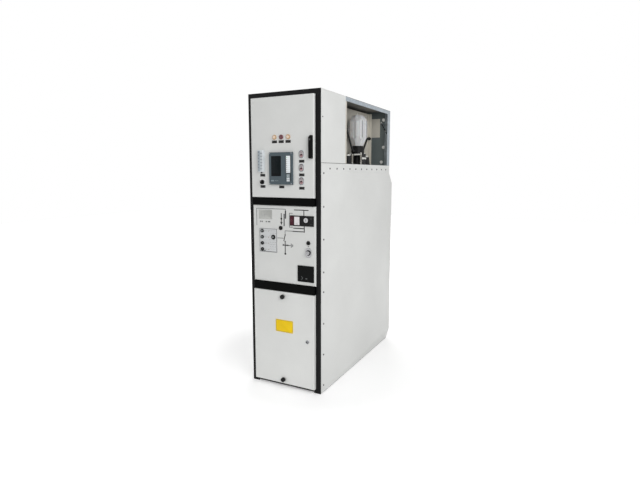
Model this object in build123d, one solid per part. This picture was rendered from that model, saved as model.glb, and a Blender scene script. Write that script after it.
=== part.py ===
from build123d import *
import os

# Gas-insulated switchgear panel. Millimetres, +Z up, front towards -Y.
# Pieces are drawn with y = 0 on the face of the front frame and moved to the row's origin on export.

# Overall size
PANEL_W = 600
SHEET = 3
TRIM_SHEET = 2
SEAM = 3
MOVE_GAP = 5
FIT_GAP = 0.3

# Front layout, from the floor upwards
STILE_SHOW = 40
OVERLAP = 15
FRAME_T = 4
FOOT_LIFT = 10
EDGE_R = 5
LIP = 14
COVER_LIFT = 33
COVER_H = 714
LOWER_BAND_H = 58
MID_H = 574
UPPER_BAND_H = 50
DOOR_H = 710
HEAD_H = 37
BAND_OVER = 2
MID_OVER = 5
DOOR_DEPTH = 25
COVER_DEPTH = 28
BAND_DEPTH = 26
MID_DEPTH = 12

# Body behind the front
BASE_H = 60
BASE_SETBACK = 40
BASE_LEG_W = 60
BASE_T = 6
FLOOR_HOLE_R = 7
FLOOR_HOLE_INSET = 76
LV_DEPTH = 405
SIDE_RISE = 30
SIDE_FLANGE = 64
SIDE_EDGE = 4
SIDE_SLOPE_H = 100

# Open busbar bay
BAY_D = 995
BAY_H = 499
POST_W = 65
POST_T = 4
RAIL_H = 30
RAIL_W = 40
BAY_SIDE_DEPTH = 180
BAY_PLATE_END_GAP = 90
BAY_FLANGE = 32
BAY_HEAD = 25
UNIT_SIDE_INSET = 85
UNIT_DEPTH_SHARE = 0.437
STAND_H = 92
PLUG_H = 65
UNIT_H = 250
UNIT_R = 84
UNIT_SIDES = 8
UNIT_END_R = 46
UNIT_HEAD_BEVEL_H = 47
UNIT_FOOT_BEVEL_H = 77
UNIT_GROOVE_W = 24
UNIT_GROOVE_DEPTH = 12
PLUG_R = 52
PLUG_FLAT = 48
PLUG_NECK_R = 44
PLUG_NECK_H = 14
STAND_T = 14
STAND_W = 112
STAND_D = 90
STAND_LEG_T = 14
BUSHING_R = 30
BUSHING_TIP_R = 24
BUSHING_H = 70
BUSHING_FLANGE_R = 36
BUSHING_FLANGE_H = 10
BUSHING_PITCH = 195
CABLE_R = 8
CABLE_BEND_R = 30
GLAND_R = 14
GLAND_L = 18
NEAR_LEAD_SHARE = 0.54
FAR_LEAD_SHARE = 0.5
REAR_PLATE_W = 116
REAR_PLATE_SHARES = (0.53, 0.875)
STRUT_T = 8
STRUT_W = 12
STRUT_INSET = 91
STRUT_SHARES = (0.495, 0.82)

# Instrument door; places are shares of the door's width from its middle and of its height from its foot
LAMP_SHARE = 0.603
LAMP_PITCH = 57
LAMP_R = 16
RELAY_SHARE = 0.293
RELAY_W = 194
RELAY_H = 228
RELAY_PROUD = 18
RELAY_BACK = 150
RELAY_RECESS = 3
SCREEN_X_SHARES = (-0.43, 0.0)
SCREEN_Z_SHARES = (0.26, 0.885)
STRIP_X_SHARES = (0.22, 0.4)
STRIP_Z_SHARES = (0.36, 0.885)
KEYS_Z_SHARES = (0.09, 0.325)
BUTTON_SHARES = (0.315, 0.299)
BUTTON_PITCH_SHARE = 0.131
BUTTON_W = 36
BUTTON_H = 52
BUTTON_PROUD = 4
CAP_R = 12
CAP_DROP = 8
CAP_PROUD = 1
CAP_TRAVEL = 4
TEST_SHARES = (-0.322, 0.369)
TEST_W = 46
TEST_H = 155
TEST_PROUD = 22
TEST_SLOTS = 6
SELECT_SHARES = (-0.316, 0.156)
SELECT_PLATE = 42
KNOB_R = 16
KNOB_H = 20
HANDLE_SHARES = (0.4635, 0.497)
HANDLE_W = 28
HANDLE_H = 157
HANDLE_BASE_T = 5
HANDLE_LEVER_T = 13
HANDLE_SPINDLE_R = 6
HINGE_R = 6
HINGE_PIN_R = 3
HINGE_HALF_H = 30
HINGE_END_GAP = 90

# Middle panel; places are shares of its width from its middle and of its height from its foot
RIGHT_MARGIN = 13
BREAKER_W = 195
BREAKER_H = 74
BREAKER_TOP_MARGIN = 68
BREAKER_PROUD = 6
TRIP_W = 30
STATUS_W = 46
CLOSE_R = 17.5
CLOSE_MARGIN = 62
CLOSE_Z_SHARE = 0.58
PUSH_PROUD = 3
WINDOW_W = 133
WINDOW_H = 119
WINDOW_FOOT_MARGIN = 27
WINDOW_T = 6
WINDOW_RIM = 9
WINDOW_RECESS = 2
DRIVE_SOCKET_R = 15
DRIVE_BORE_R = 9
DRIVE_GAP = 32
DRIVE_Z_SHARE = 0.714
SPRING_SOCKET_SHARES = (0.392, 0.545)
DETECTOR_SHARES = (-0.25, 0.545)
DETECTOR_W = 155
DETECTOR_H = 178
DETECTOR_T = 4
DETECTOR_SOCKET_SHARES = ((0.168, 0.888), (0.168, 0.629), (0.168, 0.371), (0.168, 0.112), (0.794, 0.646))
DETECTOR_SOCKET_R = 13
DETECTOR_BORE_R = 7
SOCKET_H = 7
LOCK_SHARES = (0.392, 0.423)
LOCK_W = 46
LOCK_H = 70
LOCK_T = 5
LOCK_BARREL_R = 15
LOCK_BARREL_H = 16

# Lower cover
COVER_KNOB_R = 17
COVER_KNOB_H = 22
COVER_KNOB_NECK = 6
COVER_KNOB_INSET = 35
COVER_FLUTES = 8
COVER_FLUTE_R = 4
COVER_LOCK_SHARES = (0.394, 0.506)
COVER_LOCK_R = 11
COVER_LOCK_H = 8

# Levels and planes that follow from the sizes above
HALF_W = PANEL_W / 2
PANEL_D = LV_DEPTH + BAY_D
DOOR_W = PANEL_W - 2 * STILE_SHOW
BAND_W = DOOR_W + 2 * BAND_OVER
MID_W = DOOR_W + 2 * MID_OVER
COVER_Z = (COVER_LIFT, COVER_LIFT + COVER_H)
LOWER_BAND_Z = (COVER_Z[1] + SEAM, COVER_Z[1] + SEAM + LOWER_BAND_H)
MID_Z = (LOWER_BAND_Z[1] + SEAM, LOWER_BAND_Z[1] + SEAM + MID_H)
UPPER_BAND_Z = (MID_Z[1] + SEAM, MID_Z[1] + SEAM + UPPER_BAND_H)
DOOR_Z = (UPPER_BAND_Z[1] + MOVE_GAP, UPPER_BAND_Z[1] + MOVE_GAP + DOOR_H)
PANEL_H = DOOR_Z[1] + HEAD_H
DOOR_Y = (-MOVE_GAP - DOOR_DEPTH, -MOVE_GAP)
STILE_X = DOOR_W / 2 - OVERLAP
LV_FLOOR = DOOR_Z[0] + OVERLAP
LV_LINTEL = DOOR_Z[1] - OVERLAP
ROOF_Z = PANEL_H - SHEET
BACK_Y = PANEL_D - POST_T
SIDE_TOP = ROOF_Z - BAY_H
BAY_PLATE_X = HALF_W - BAY_SIDE_DEPTH
BAY_PLATE_BACK = PANEL_D - BAY_PLATE_END_GAP
UNIT_X = HALF_W - UNIT_SIDE_INSET
UNIT_Y = LV_DEPTH + (PANEL_D - LV_DEPTH) * UNIT_DEPTH_SHARE
STAND_TOP = SIDE_TOP + STAND_H
UNIT_BOTTOM = STAND_TOP + PLUG_H
UNIT_TOP = UNIT_BOTTOM + UNIT_H
HANDLE_REACH = HANDLE_BASE_T + MOVE_GAP + HANDLE_LEVER_T
FRONT_REACH = MOVE_GAP + DOOR_DEPTH + HANDLE_REACH
FRAME_Y = (FRONT_REACH - PANEL_D) / 2
HINGE_X = -DOOR_W / 2 - HINGE_R - TRIM_SHEET
HINGE_Y = -MOVE_GAP - HINGE_R - SHEET


def on_field(width, z, shares):
    """A place on a front field, from its shares across and up."""
    return width * shares[0], z[0] + (z[1] - z[0]) * shares[1]


def span_x(width, shares):
    return (width * shares[0], width * shares[1])


def span_z(z, shares):
    return (z[0] + (z[1] - z[0]) * shares[0], z[0] + (z[1] - z[0]) * shares[1])


# Places on the fronts
LAMP_Z = on_field(DOOR_W, DOOR_Z, (0, LAMP_SHARE))[1]
RELAY_Z = on_field(DOOR_W, DOOR_Z, (0, RELAY_SHARE))[1]
BUTTON_X, BUTTON_Z = on_field(DOOR_W, DOOR_Z, BUTTON_SHARES)
BUTTON_PITCH = (DOOR_Z[1] - DOOR_Z[0]) * BUTTON_PITCH_SHARE
TEST_X, TEST_Z = on_field(DOOR_W, DOOR_Z, TEST_SHARES)
SELECT_X, SELECT_Z = on_field(DOOR_W, DOOR_Z, SELECT_SHARES)
HANDLE_X, HANDLE_Z = on_field(DOOR_W, DOOR_Z, HANDLE_SHARES)
PIVOT_Z = HANDLE_Z + HANDLE_H / 2 - HANDLE_W
RIGHT_X = MID_W / 2 - RIGHT_MARGIN
BREAKER_X = (RIGHT_X - BREAKER_W, RIGHT_X)
BREAKER_Z = (MID_Z[1] - BREAKER_TOP_MARGIN - BREAKER_H, MID_Z[1] - BREAKER_TOP_MARGIN)
BREAKER_MID_Z = (BREAKER_Z[0] + BREAKER_Z[1]) / 2
PUSH_H = BREAKER_H - 4 * SHEET
TRIP_X = BREAKER_X[0] + SHEET + TRIP_W / 2
STATUS_X = TRIP_X + TRIP_W / 2 + SHEET + STATUS_W / 2
CLOSE_X = BREAKER_X[1] - CLOSE_MARGIN
CLOSE_Z = BREAKER_Z[0] + BREAKER_H * CLOSE_Z_SHARE
WINDOW_X = (RIGHT_X - WINDOW_W, RIGHT_X)
WINDOW_Z = (MID_Z[0] + WINDOW_FOOT_MARGIN, MID_Z[0] + WINDOW_FOOT_MARGIN + WINDOW_H)
DETECTOR_CENTRE = on_field(MID_W, MID_Z, DETECTOR_SHARES)
DETECTOR_X = (DETECTOR_CENTRE[0] - DETECTOR_W / 2, DETECTOR_CENTRE[0] + DETECTOR_W / 2)
DETECTOR_Z = (DETECTOR_CENTRE[1] - DETECTOR_H / 2, DETECTOR_CENTRE[1] + DETECTOR_H / 2)
DRIVE_SOCKET = (DETECTOR_X[1] + DRIVE_GAP, MID_Z[0] + MID_H * DRIVE_Z_SHARE)
DRIVE_SOCKETS = (on_field(MID_W, MID_Z, SPRING_SOCKET_SHARES), DRIVE_SOCKET)
LOCK_X, LOCK_Z = on_field(MID_W, MID_Z, LOCK_SHARES)
COVER_LOCK_X, COVER_LOCK_Z = on_field(DOOR_W, COVER_Z, COVER_LOCK_SHARES)


def block(x, y, z):
    """A box between three pairs of limits."""
    centre = Pos((x[0] + x[1]) / 2, (y[0] + y[1]) / 2, (z[0] + z[1]) / 2)
    return centre * Box(x[1] - x[0], y[1] - y[0], z[1] - z[0])


def around(centre, size):
    """The pair of limits of a size about its centre."""
    return (centre - size / 2, centre + size / 2)


def peg(x, z, y, radius):
    """A round bar square to the front, between two depths."""
    return Pos(x, (y[0] + y[1]) / 2, z) * Rot(X=90) * Cylinder(radius, y[1] - y[0])


def both_sides(shape):
    """A piece and its mirror image on the other side of the panel."""
    return [shape, mirror(shape, about=Plane.YZ)]


def pan(width, z, y, sheet):
    """A folded front: a sheet with four returns and in-turned lips, open at the back."""
    outer = block(around(0, width), y, z)
    rim = outer.faces().sort_by(Axis.Y)[0].edges()
    outer = fillet(rim, EDGE_R)
    lip = max(sheet, min(LIP, (z[1] - z[0]) / 4))
    room_y = (y[0] + sheet, y[1] - sheet)
    outer -= block(around(0, width - 2 * sheet), room_y, (z[0] + sheet, z[1] - sheet))
    return outer - block(around(0, width - 2 * lip), (y[0] + sheet, y[1]), (z[0] + lip, z[1] - lip))


def base_frame():
    """Floor angles under the housing, the long ones drilled for floor bolts."""
    y = (FRAME_T + BASE_SETBACK, BACK_Y)
    inner = HALF_W - BASE_LEG_W
    side = block((inner, HALF_W), y, (0, BASE_T))
    side += block((HALF_W - BASE_T, HALF_W), y, (BASE_T, BASE_H))
    for bolt_y in (y[0] + FLOOR_HOLE_INSET, y[1] - FLOOR_HOLE_INSET):
        side -= Pos(HALF_W - BASE_LEG_W / 2, bolt_y, 0) * Cylinder(FLOOR_HOLE_R, BASE_H)
    front = block((-inner, inner), (y[0], y[0] + BASE_T), (0, BASE_H))
    rear = block((-inner, inner), (y[1] - BASE_T, y[1]), (0, BASE_H))
    return Part() + both_sides(side) + [front, rear]


def front_frame():
    """Black front frame: two stiles, the head rail, the rail under the door and the foot rail."""
    y = (0, FRAME_T)
    stile = block((STILE_X, HALF_W), y, (0, PANEL_H))
    head = block((-STILE_X, STILE_X), y, (LV_LINTEL, PANEL_H))
    rail = block((-STILE_X, STILE_X), y, (UPPER_BAND_Z[0], LV_FLOOR))
    foot = block((-STILE_X, STILE_X), y, (FOOT_LIFT, COVER_Z[0] + OVERLAP))
    return Part() + both_sides(stile) + [head, rail, foot]


def housing():
    """Closed lower body, the tank top behind it and the cheeks beside the instrument space."""
    lower = block((-HALF_W, HALF_W), (FRAME_T, BACK_Y), (BASE_H, LV_FLOOR))
    tank = block((-HALF_W, HALF_W), (LV_DEPTH, BACK_Y), (LV_FLOOR, SIDE_TOP))
    cheek = block((DOOR_W / 2, HALF_W), (FRAME_T, LV_DEPTH), (LV_FLOOR, SIDE_TOP))
    return lower + tank + both_sides(cheek)


def field_section(y, rise, inset):
    """Upright section of the raised field at one depth, with its sloping top and foot."""
    slope = SIDE_SLOPE_H / SIDE_RISE
    foot = SIDE_EDGE + inset
    head = SIDE_TOP - SIDE_FLANGE - inset
    points = [(0, foot), (rise, foot + rise * slope), (rise, head - rise * slope), (0, head)]
    side = Plane(origin=(HALF_W, y, 0), x_dir=(1, 0, 0), z_dir=(0, -1, 0))
    return side * make_face(Polyline(*points, close=True))


def raised_field():
    """Field that rises evenly from the front flange to its full height at the back."""
    front = field_section(SIDE_EDGE + SIDE_FLANGE, TRIM_SHEET, 0)
    return loft([front, field_section(PANEL_D - SIDE_EDGE, SIDE_RISE, 0)], ruled=True)


def field_hollow():
    """Space under the raised field, one sheet below it."""
    inset = TRIM_SHEET * SIDE_SLOPE_H / SIDE_RISE
    length = PANEL_D - 2 * SIDE_EDGE - SIDE_FLANGE
    start = SIDE_EDGE + SIDE_FLANGE + length * TRIM_SHEET / (SIDE_RISE - TRIM_SHEET)
    front = field_section(start, TRIM_SHEET, inset)
    return loft([front, field_section(PANEL_D - SIDE_EDGE - TRIM_SHEET, SIDE_RISE - TRIM_SHEET, inset)], ruled=True)


def side_cover():
    """Cover with a flange screwed along its front and top, and a raised field."""
    flange = block((HALF_W, HALF_W + TRIM_SHEET), (SIDE_EDGE, PANEL_D - SIDE_EDGE), (SIDE_EDGE, SIDE_TOP))
    return flange + raised_field() - field_hollow()


def lv_wall():
    """Side wall of the instrument space above the side cover."""
    return block((HALF_W - SHEET, HALF_W), (FRAME_T, LV_DEPTH), (SIDE_TOP, ROOF_Z))


def lv_back():
    """Wall between the instrument space and the busbar bay."""
    inner = HALF_W - SHEET
    return block((-inner, inner), (LV_DEPTH - SHEET, LV_DEPTH), (SIDE_TOP, ROOF_Z))


def lv_roof():
    return block((-HALF_W, HALF_W), (FRAME_T, LV_DEPTH), (ROOF_Z, PANEL_H))


def roof_plate():
    return block((-HALF_W, HALF_W), (LV_DEPTH, PANEL_D), (ROOF_Z, PANEL_H))


def rear_frame():
    """Corner posts and roof rails of the open bay, each a folded angle."""
    post = block((HALF_W - POST_T, HALF_W), (PANEL_D - POST_W, PANEL_D), (SIDE_TOP, ROOF_Z))
    post += block((HALF_W - POST_W, HALF_W), (BACK_Y, PANEL_D), (SIDE_TOP, ROOF_Z))
    rail_y = (LV_DEPTH, PANEL_D - POST_W)
    rail = block((HALF_W - POST_T, HALF_W), rail_y, (ROOF_Z - RAIL_H, ROOF_Z))
    rail += block((HALF_W - RAIL_W, HALF_W), rail_y, (ROOF_Z - POST_T, ROOF_Z))
    return both_sides(post + rail + strut())


def strut():
    """Sloping brace from the back cover down to a post."""
    low, high = span_z((SIDE_TOP, ROOF_Z), STRUT_SHARES)
    top_x = HALF_W - STRUT_INSET
    foot_x = HALF_W - POST_T
    depth = STRUT_W * (high - low) / (foot_x - top_x)
    brace = Polyline((top_x, high), (top_x + STRUT_W, high), (foot_x, low + depth), (foot_x, low), close=True)
    back = Plane(origin=(0, BACK_Y - SHEET, 0), x_dir=(1, 0, 0), z_dir=(0, -1, 0))
    return extrude(back * make_face(brace), STRUT_T)


def rear_cover_upper():
    half = HALF_W - POST_W + OVERLAP
    return block((-half, half), (BACK_Y - SHEET, BACK_Y), (SIDE_TOP, ROOF_Z))


def rear_cover_lower():
    half = HALF_W - OVERLAP
    return block((-half, half), (BACK_Y, PANEL_D), (COVER_LIFT, SIDE_TOP - SEAM))


def bay_plate():
    """Upright plate in the bay, with a return along its rear edge."""
    z = (SIDE_TOP, ROOF_Z - BAY_HEAD)
    x = (BAY_PLATE_X - SHEET, BAY_PLATE_X)
    plate = block(x, (LV_DEPTH, BAY_PLATE_BACK), z)
    lip = block((BAY_PLATE_X, BAY_PLATE_X + BAY_FLANGE), (BAY_PLATE_BACK - SHEET, BAY_PLATE_BACK), z)
    return plate + lip


def rear_plate():
    """Smaller plate on the bay's back cover, beside the return of the upright plate."""
    x = (BAY_PLATE_X - BAY_FLANGE, BAY_PLATE_X - BAY_FLANGE + REAR_PLATE_W)
    z = (SIDE_TOP + BAY_H * REAR_PLATE_SHARES[0], SIDE_TOP + BAY_H * REAR_PLATE_SHARES[1])
    return block(x, (BACK_Y - 2 * SHEET, BACK_Y - SHEET), z)


def transformer():
    """Eight-sided cast body with long bevels at both ends and a flute down every corner."""
    outline = (
        (UNIT_END_R, UNIT_BOTTOM),
        (UNIT_R, UNIT_BOTTOM + UNIT_FOOT_BEVEL_H),
        (UNIT_R, UNIT_TOP - UNIT_HEAD_BEVEL_H),
        (UNIT_END_R, UNIT_TOP),
    )
    rings = [Pos(UNIT_X, UNIT_Y, z) * RegularPolygon(radius, UNIT_SIDES) for radius, z in outline]
    body = Part()
    for low, high in zip(rings, rings[1:]):
        body += loft([low, high], ruled=True)
    flute = Pos(UNIT_R, 0, 0) * Box(2 * UNIT_GROOVE_DEPTH, UNIT_GROOVE_W, 2 * UNIT_H)
    for side in PolarLocations(0, UNIT_SIDES):
        body -= Pos(UNIT_X, UNIT_Y, UNIT_BOTTOM) * side * flute
    return body


def plug_base():
    """Black plug under the body, with a neck and two flats for the leads, on top of the stand."""
    body_h = PLUG_H - PLUG_NECK_H
    plug = Pos(UNIT_X, UNIT_Y, STAND_TOP + body_h / 2) * Cylinder(PLUG_R, body_h)
    plug = fillet(plug.faces().sort_by(Axis.Z)[-1].edges(), EDGE_R)
    plug &= block(around(UNIT_X, 2 * PLUG_R), around(UNIT_Y, 2 * PLUG_FLAT), (STAND_TOP, UNIT_BOTTOM))
    return plug + Pos(UNIT_X, UNIT_Y, UNIT_BOTTOM - PLUG_NECK_H / 2) * Cylinder(PLUG_NECK_R, PLUG_NECK_H)


def bushing(y):
    """Bushing on the tank top: a flange and a tapered skirt."""
    flange = Pos(UNIT_X, y, SIDE_TOP + BUSHING_FLANGE_H / 2) * Cylinder(BUSHING_FLANGE_R, BUSHING_FLANGE_H)
    skirt_h = BUSHING_H - BUSHING_FLANGE_H
    return flange + Pos(UNIT_X, y, SIDE_TOP + BUSHING_FLANGE_H + skirt_h / 2) * Cone(BUSHING_R, BUSHING_TIP_R, skirt_h)


def stand():
    """Table on two legs that carries the plug and the body."""
    x = around(UNIT_X, STAND_W)
    y = around(UNIT_Y, STAND_D)
    table = block(x, y, (STAND_TOP - STAND_T, STAND_TOP))
    leg_z = (SIDE_TOP, STAND_TOP - STAND_T)
    legs = block((x[0], x[0] + STAND_LEG_T), y, leg_z)
    legs += block((x[1] - STAND_LEG_T, x[1]), y, leg_z)
    return table + legs


def cable(points):
    """A round cable along straight runs joined by arcs."""
    path = FilletPolyline(*points, radius=CABLE_BEND_R)
    start = Plane(origin=path @ 0, z_dir=path % 0)
    finish = Plane(origin=path @ 1, z_dir=-(path % 1))
    lead = sweep(start * Circle(CABLE_R), path)
    for end in (start, finish):
        lead += extrude(end * RegularPolygon(GLAND_R, 6), GLAND_L)
    return lead


def signal_cables():
    """Leads from the instrument space to the plug, and from the plug to the plate's return."""
    plug_z = (STAND_TOP + UNIT_BOTTOM - PLUG_NECK_H - EDGE_R) / 2
    lead_x = HALF_W - RAIL_W / 2
    near_z = SIDE_TOP + BAY_H * NEAR_LEAD_SHARE
    far_z = SIDE_TOP + BAY_H * FAR_LEAD_SHARE
    run = CABLE_BEND_R * 2
    near = [
        (lead_x, LV_DEPTH, near_z),
        (lead_x, LV_DEPTH + run, near_z),
        (UNIT_X, UNIT_Y - PLUG_FLAT - run, plug_z),
        (UNIT_X, UNIT_Y - PLUG_FLAT, plug_z),
    ]
    far_x = BAY_PLATE_X + BAY_FLANGE / 2
    far = [
        (UNIT_X, UNIT_Y + PLUG_FLAT, plug_z),
        (UNIT_X, UNIT_Y + PLUG_FLAT + run, plug_z),
        (far_x, BAY_PLATE_BACK - SHEET - run, far_z),
        (far_x, BAY_PLATE_BACK - SHEET, far_z),
    ]
    return both_sides(cable(near)) + both_sides(cable(far))


def lv_door():
    """Instrument door: a folded pan, cut out for everything mounted in it."""
    door = pan(DOOR_W, DOOR_Z, DOOR_Y, TRIM_SHEET)
    through = (DOOR_Y[0] - EDGE_R, DOOR_Y[1])
    for index in (-1, 0, 1):
        door -= peg(index * LAMP_PITCH, LAMP_Z, through, LAMP_R - EDGE_R + FIT_GAP)
        z = around(BUTTON_Z + index * BUTTON_PITCH, BUTTON_H - 2 * SHEET + 2 * FIT_GAP)
        door -= block(around(BUTTON_X, BUTTON_W - 2 * SHEET + 2 * FIT_GAP), through, z)
    inset = 2 * (EDGE_R - FIT_GAP)
    door -= block(around(0, RELAY_W - inset), through, around(RELAY_Z, RELAY_H - inset))
    door -= block(around(TEST_X, TEST_W - inset), through, around(TEST_Z, TEST_H - inset))
    door -= peg(SELECT_X, SELECT_Z, through, KNOB_R - EDGE_R + FIT_GAP)
    door -= peg(HANDLE_X, PIVOT_Z, through, HANDLE_W / 2 - EDGE_R + FIT_GAP)
    return door


def relay():
    """Protection relay: a bezel on the door and its case behind, with a screen recess."""
    face = DOOR_Y[0]
    x = around(0, RELAY_W)
    z = around(RELAY_Z, RELAY_H)
    bezel = block(x, (face - RELAY_PROUD, face), z)
    bezel = fillet(bezel.faces().sort_by(Axis.Y)[0].edges(), EDGE_R)
    recess_y = (face - RELAY_PROUD, face - RELAY_PROUD + RELAY_RECESS)
    bezel -= block(span_x(RELAY_W, SCREEN_X_SHARES), recess_y, span_z(z, SCREEN_Z_SHARES))
    bezel -= block(span_x(RELAY_W, STRIP_X_SHARES), recess_y, span_z(z, STRIP_Z_SHARES))
    bezel -= block(span_x(RELAY_W, STRIP_X_SHARES), recess_y, span_z(z, KEYS_Z_SHARES))
    case_x = around(0, RELAY_W - 2 * EDGE_R)
    case_z = around(RELAY_Z, RELAY_H - 2 * EDGE_R)
    return bezel + block(case_x, (face, face + RELAY_BACK), case_z)


def lamp(x):
    """Signal lamp: collar, lens and the body behind the door."""
    face = DOOR_Y[0]
    collar = peg(x, LAMP_Z, (face - EDGE_R, face), LAMP_R)
    lens = peg(x, LAMP_Z, (face - 2 * EDGE_R, face - EDGE_R), LAMP_R - SHEET)
    lens = fillet(lens.faces().sort_by(Axis.Y)[0].edges(), SHEET)
    return collar + lens + peg(x, LAMP_Z, (face, face + 2 * LAMP_R), LAMP_R - EDGE_R)


def button_bezel(z):
    """Oval collar of a push-button and the contact block behind it."""
    face = DOOR_Y[0]
    front = Plane(origin=(BUTTON_X, face, z), x_dir=(1, 0, 0), z_dir=(0, -1, 0))
    collar = extrude(front * RectangleRounded(BUTTON_W, BUTTON_H, BUTTON_W / 2 - TRIM_SHEET), BUTTON_PROUD)
    case_x = around(BUTTON_X, BUTTON_W - 2 * SHEET)
    case = block(case_x, (face, face + BUTTON_W), around(z, BUTTON_H - 2 * SHEET))
    bore_y = (face - BUTTON_PROUD, face + CAP_TRAVEL + MOVE_GAP)
    return collar + case - peg(BUTTON_X, z - CAP_DROP, bore_y, CAP_R + FIT_GAP)


def button_cap(z):
    face = DOOR_Y[0]
    cap_y = (face - BUTTON_PROUD - CAP_PROUD, face)
    cap = peg(BUTTON_X, z - CAP_DROP, cap_y, CAP_R)
    return chamfer(cap.faces().sort_by(Axis.Y)[0].edges(), CAP_PROUD)


def test_block():
    """Test block with a cover recess and a column of plug slots."""
    face = DOOR_Y[0]
    front = face - TEST_PROUD
    body = block(around(TEST_X, TEST_W), (front, face), around(TEST_Z, TEST_H))
    body = fillet(body.faces().sort_by(Axis.Y)[0].edges(), SHEET)
    case_x = around(TEST_X, TEST_W - 2 * EDGE_R)
    body += block(case_x, (face, face + TEST_W), around(TEST_Z, TEST_H - 2 * EDGE_R))
    pitch = TEST_H / (TEST_SLOTS + 1)
    for index in range(TEST_SLOTS):
        slot_z = TEST_Z - TEST_H / 2 + (index + 1) * pitch
        slot_y = (front, front + TEST_PROUD / 2)
        body -= block(around(TEST_X + EDGE_R, TEST_W / 2), slot_y, around(slot_z, pitch / 3))
    return body


def selector_plate():
    """Dial plate of the selector switch with its body behind the door."""
    face = DOOR_Y[0]
    plate = block(around(SELECT_X, SELECT_PLATE), (face - SHEET, face), around(SELECT_Z, SELECT_PLATE))
    neck = peg(SELECT_X, SELECT_Z, (face, face + 2 * KNOB_R), KNOB_R - EDGE_R)
    return plate + neck - peg(SELECT_X, SELECT_Z, (face - SHEET, face + KNOB_R), EDGE_R + FIT_GAP)


def selector_knob():
    """Turning knob with a grip bar and a spindle into the switch."""
    face = DOOR_Y[0]
    back = face - SHEET - FIT_GAP
    knob = peg(SELECT_X, SELECT_Z, (back - KNOB_H / 2, back), KNOB_R)
    grip = block(around(SELECT_X, KNOB_R / 2), (back - KNOB_H, back - KNOB_H / 2), around(SELECT_Z, 2 * KNOB_R - SHEET))
    return knob + grip + peg(SELECT_X, SELECT_Z, (back, face + KNOB_R - EDGE_R), EDGE_R)


def handle_base():
    """Escutcheon of the door handle with the lock body behind the door."""
    face = DOOR_Y[0]
    front = Plane(origin=(HANDLE_X, face, HANDLE_Z), x_dir=(1, 0, 0), z_dir=(0, -1, 0))
    plate = extrude(front * RectangleRounded(HANDLE_W, HANDLE_H, EDGE_R), HANDLE_BASE_T)
    lock = peg(HANDLE_X, PIVOT_Z, (face, DOOR_Y[1]), HANDLE_W / 2 - EDGE_R)
    bore_y = (face - HANDLE_BASE_T, DOOR_Y[1])
    return plate + lock - peg(HANDLE_X, PIVOT_Z, bore_y, HANDLE_SPINDLE_R + FIT_GAP)


def handle_lever():
    """Lever with a slanted shoulder and a rounded foot, turning on a spindle."""
    face = DOOR_Y[0]
    back = face - HANDLE_BASE_T - MOVE_GAP
    front = Plane(origin=(HANDLE_X, back, HANDLE_Z), x_dir=(1, 0, 0), z_dir=(0, -1, 0))
    width = HANDLE_W - 2 * TRIM_SHEET
    outline = Rectangle(width, HANDLE_H)
    corners = outline.vertices().group_by(Axis.Y)
    outline = chamfer(corners[-1].sort_by(Axis.X)[0], width / 2)
    outline = fillet(outline.vertices().group_by(Axis.Y)[0], width / 3)
    lever = extrude(front * outline, HANDLE_LEVER_T)
    lever = fillet(lever.faces().sort_by(Axis.Y)[0].edges(), SHEET)
    boss = peg(HANDLE_X, PIVOT_Z, (back, back + MOVE_GAP - FIT_GAP), HANDLE_W / 2 - EDGE_R)
    return lever + boss + peg(HANDLE_X, PIVOT_Z, (back, DOOR_Y[1] - EDGE_R), HANDLE_SPINDLE_R)


def hinge_levels():
    return (DOOR_Z[0] + HINGE_END_GAP, DOOR_Z[1] - HINGE_END_GAP)


def hinge_leaf(level):
    """Fixed half of a lift-off hinge: leaf on the stile, lower knuckle and pin."""
    z = (level - HINGE_HALF_H, level)
    leaf = block((-HALF_W + TRIM_SHEET, HINGE_X), (-SHEET, 0), z)
    arm = block((HINGE_X - HINGE_R, HINGE_X), (HINGE_Y, 0), z)
    knuckle = Pos(HINGE_X, HINGE_Y, level - HINGE_HALF_H / 2) * Cylinder(HINGE_R, HINGE_HALF_H)
    pin = Pos(HINGE_X, HINGE_Y, level) * Cylinder(HINGE_PIN_R, HINGE_HALF_H)
    return leaf + arm + knuckle + pin


def hinge_knuckle(level):
    """Door half of a hinge: upper knuckle and the tab on the door's side."""
    z = (level + FIT_GAP, level + HINGE_HALF_H)
    knuckle = Pos(HINGE_X, HINGE_Y, (z[0] + z[1]) / 2) * Cylinder(HINGE_R, z[1] - z[0])
    tab = block((HINGE_X, -DOOR_W / 2), around(HINGE_Y, HINGE_R), z)
    bore_h = HINGE_HALF_H + 2 * FIT_GAP
    return knuckle + tab - Pos(HINGE_X, HINGE_Y, level) * Cylinder(HINGE_PIN_R + FIT_GAP, bore_h)


def mechanism_panel():
    """Middle panel, cut out for the breaker's controls and the drive sockets."""
    panel = pan(MID_W, MID_Z, (-MID_DEPTH, 0), TRIM_SHEET)
    through = (-MID_DEPTH, -MID_DEPTH + TRIM_SHEET)
    cut_x = (BREAKER_X[0] + TRIM_SHEET, BREAKER_X[1] - TRIM_SHEET)
    cut_z = (BREAKER_Z[0] + TRIM_SHEET, BREAKER_Z[1] - TRIM_SHEET)
    panel -= block(cut_x, through, cut_z)
    for x, z in DRIVE_SOCKETS:
        panel -= peg(x, z, through, DRIVE_BORE_R)
    return panel


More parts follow.
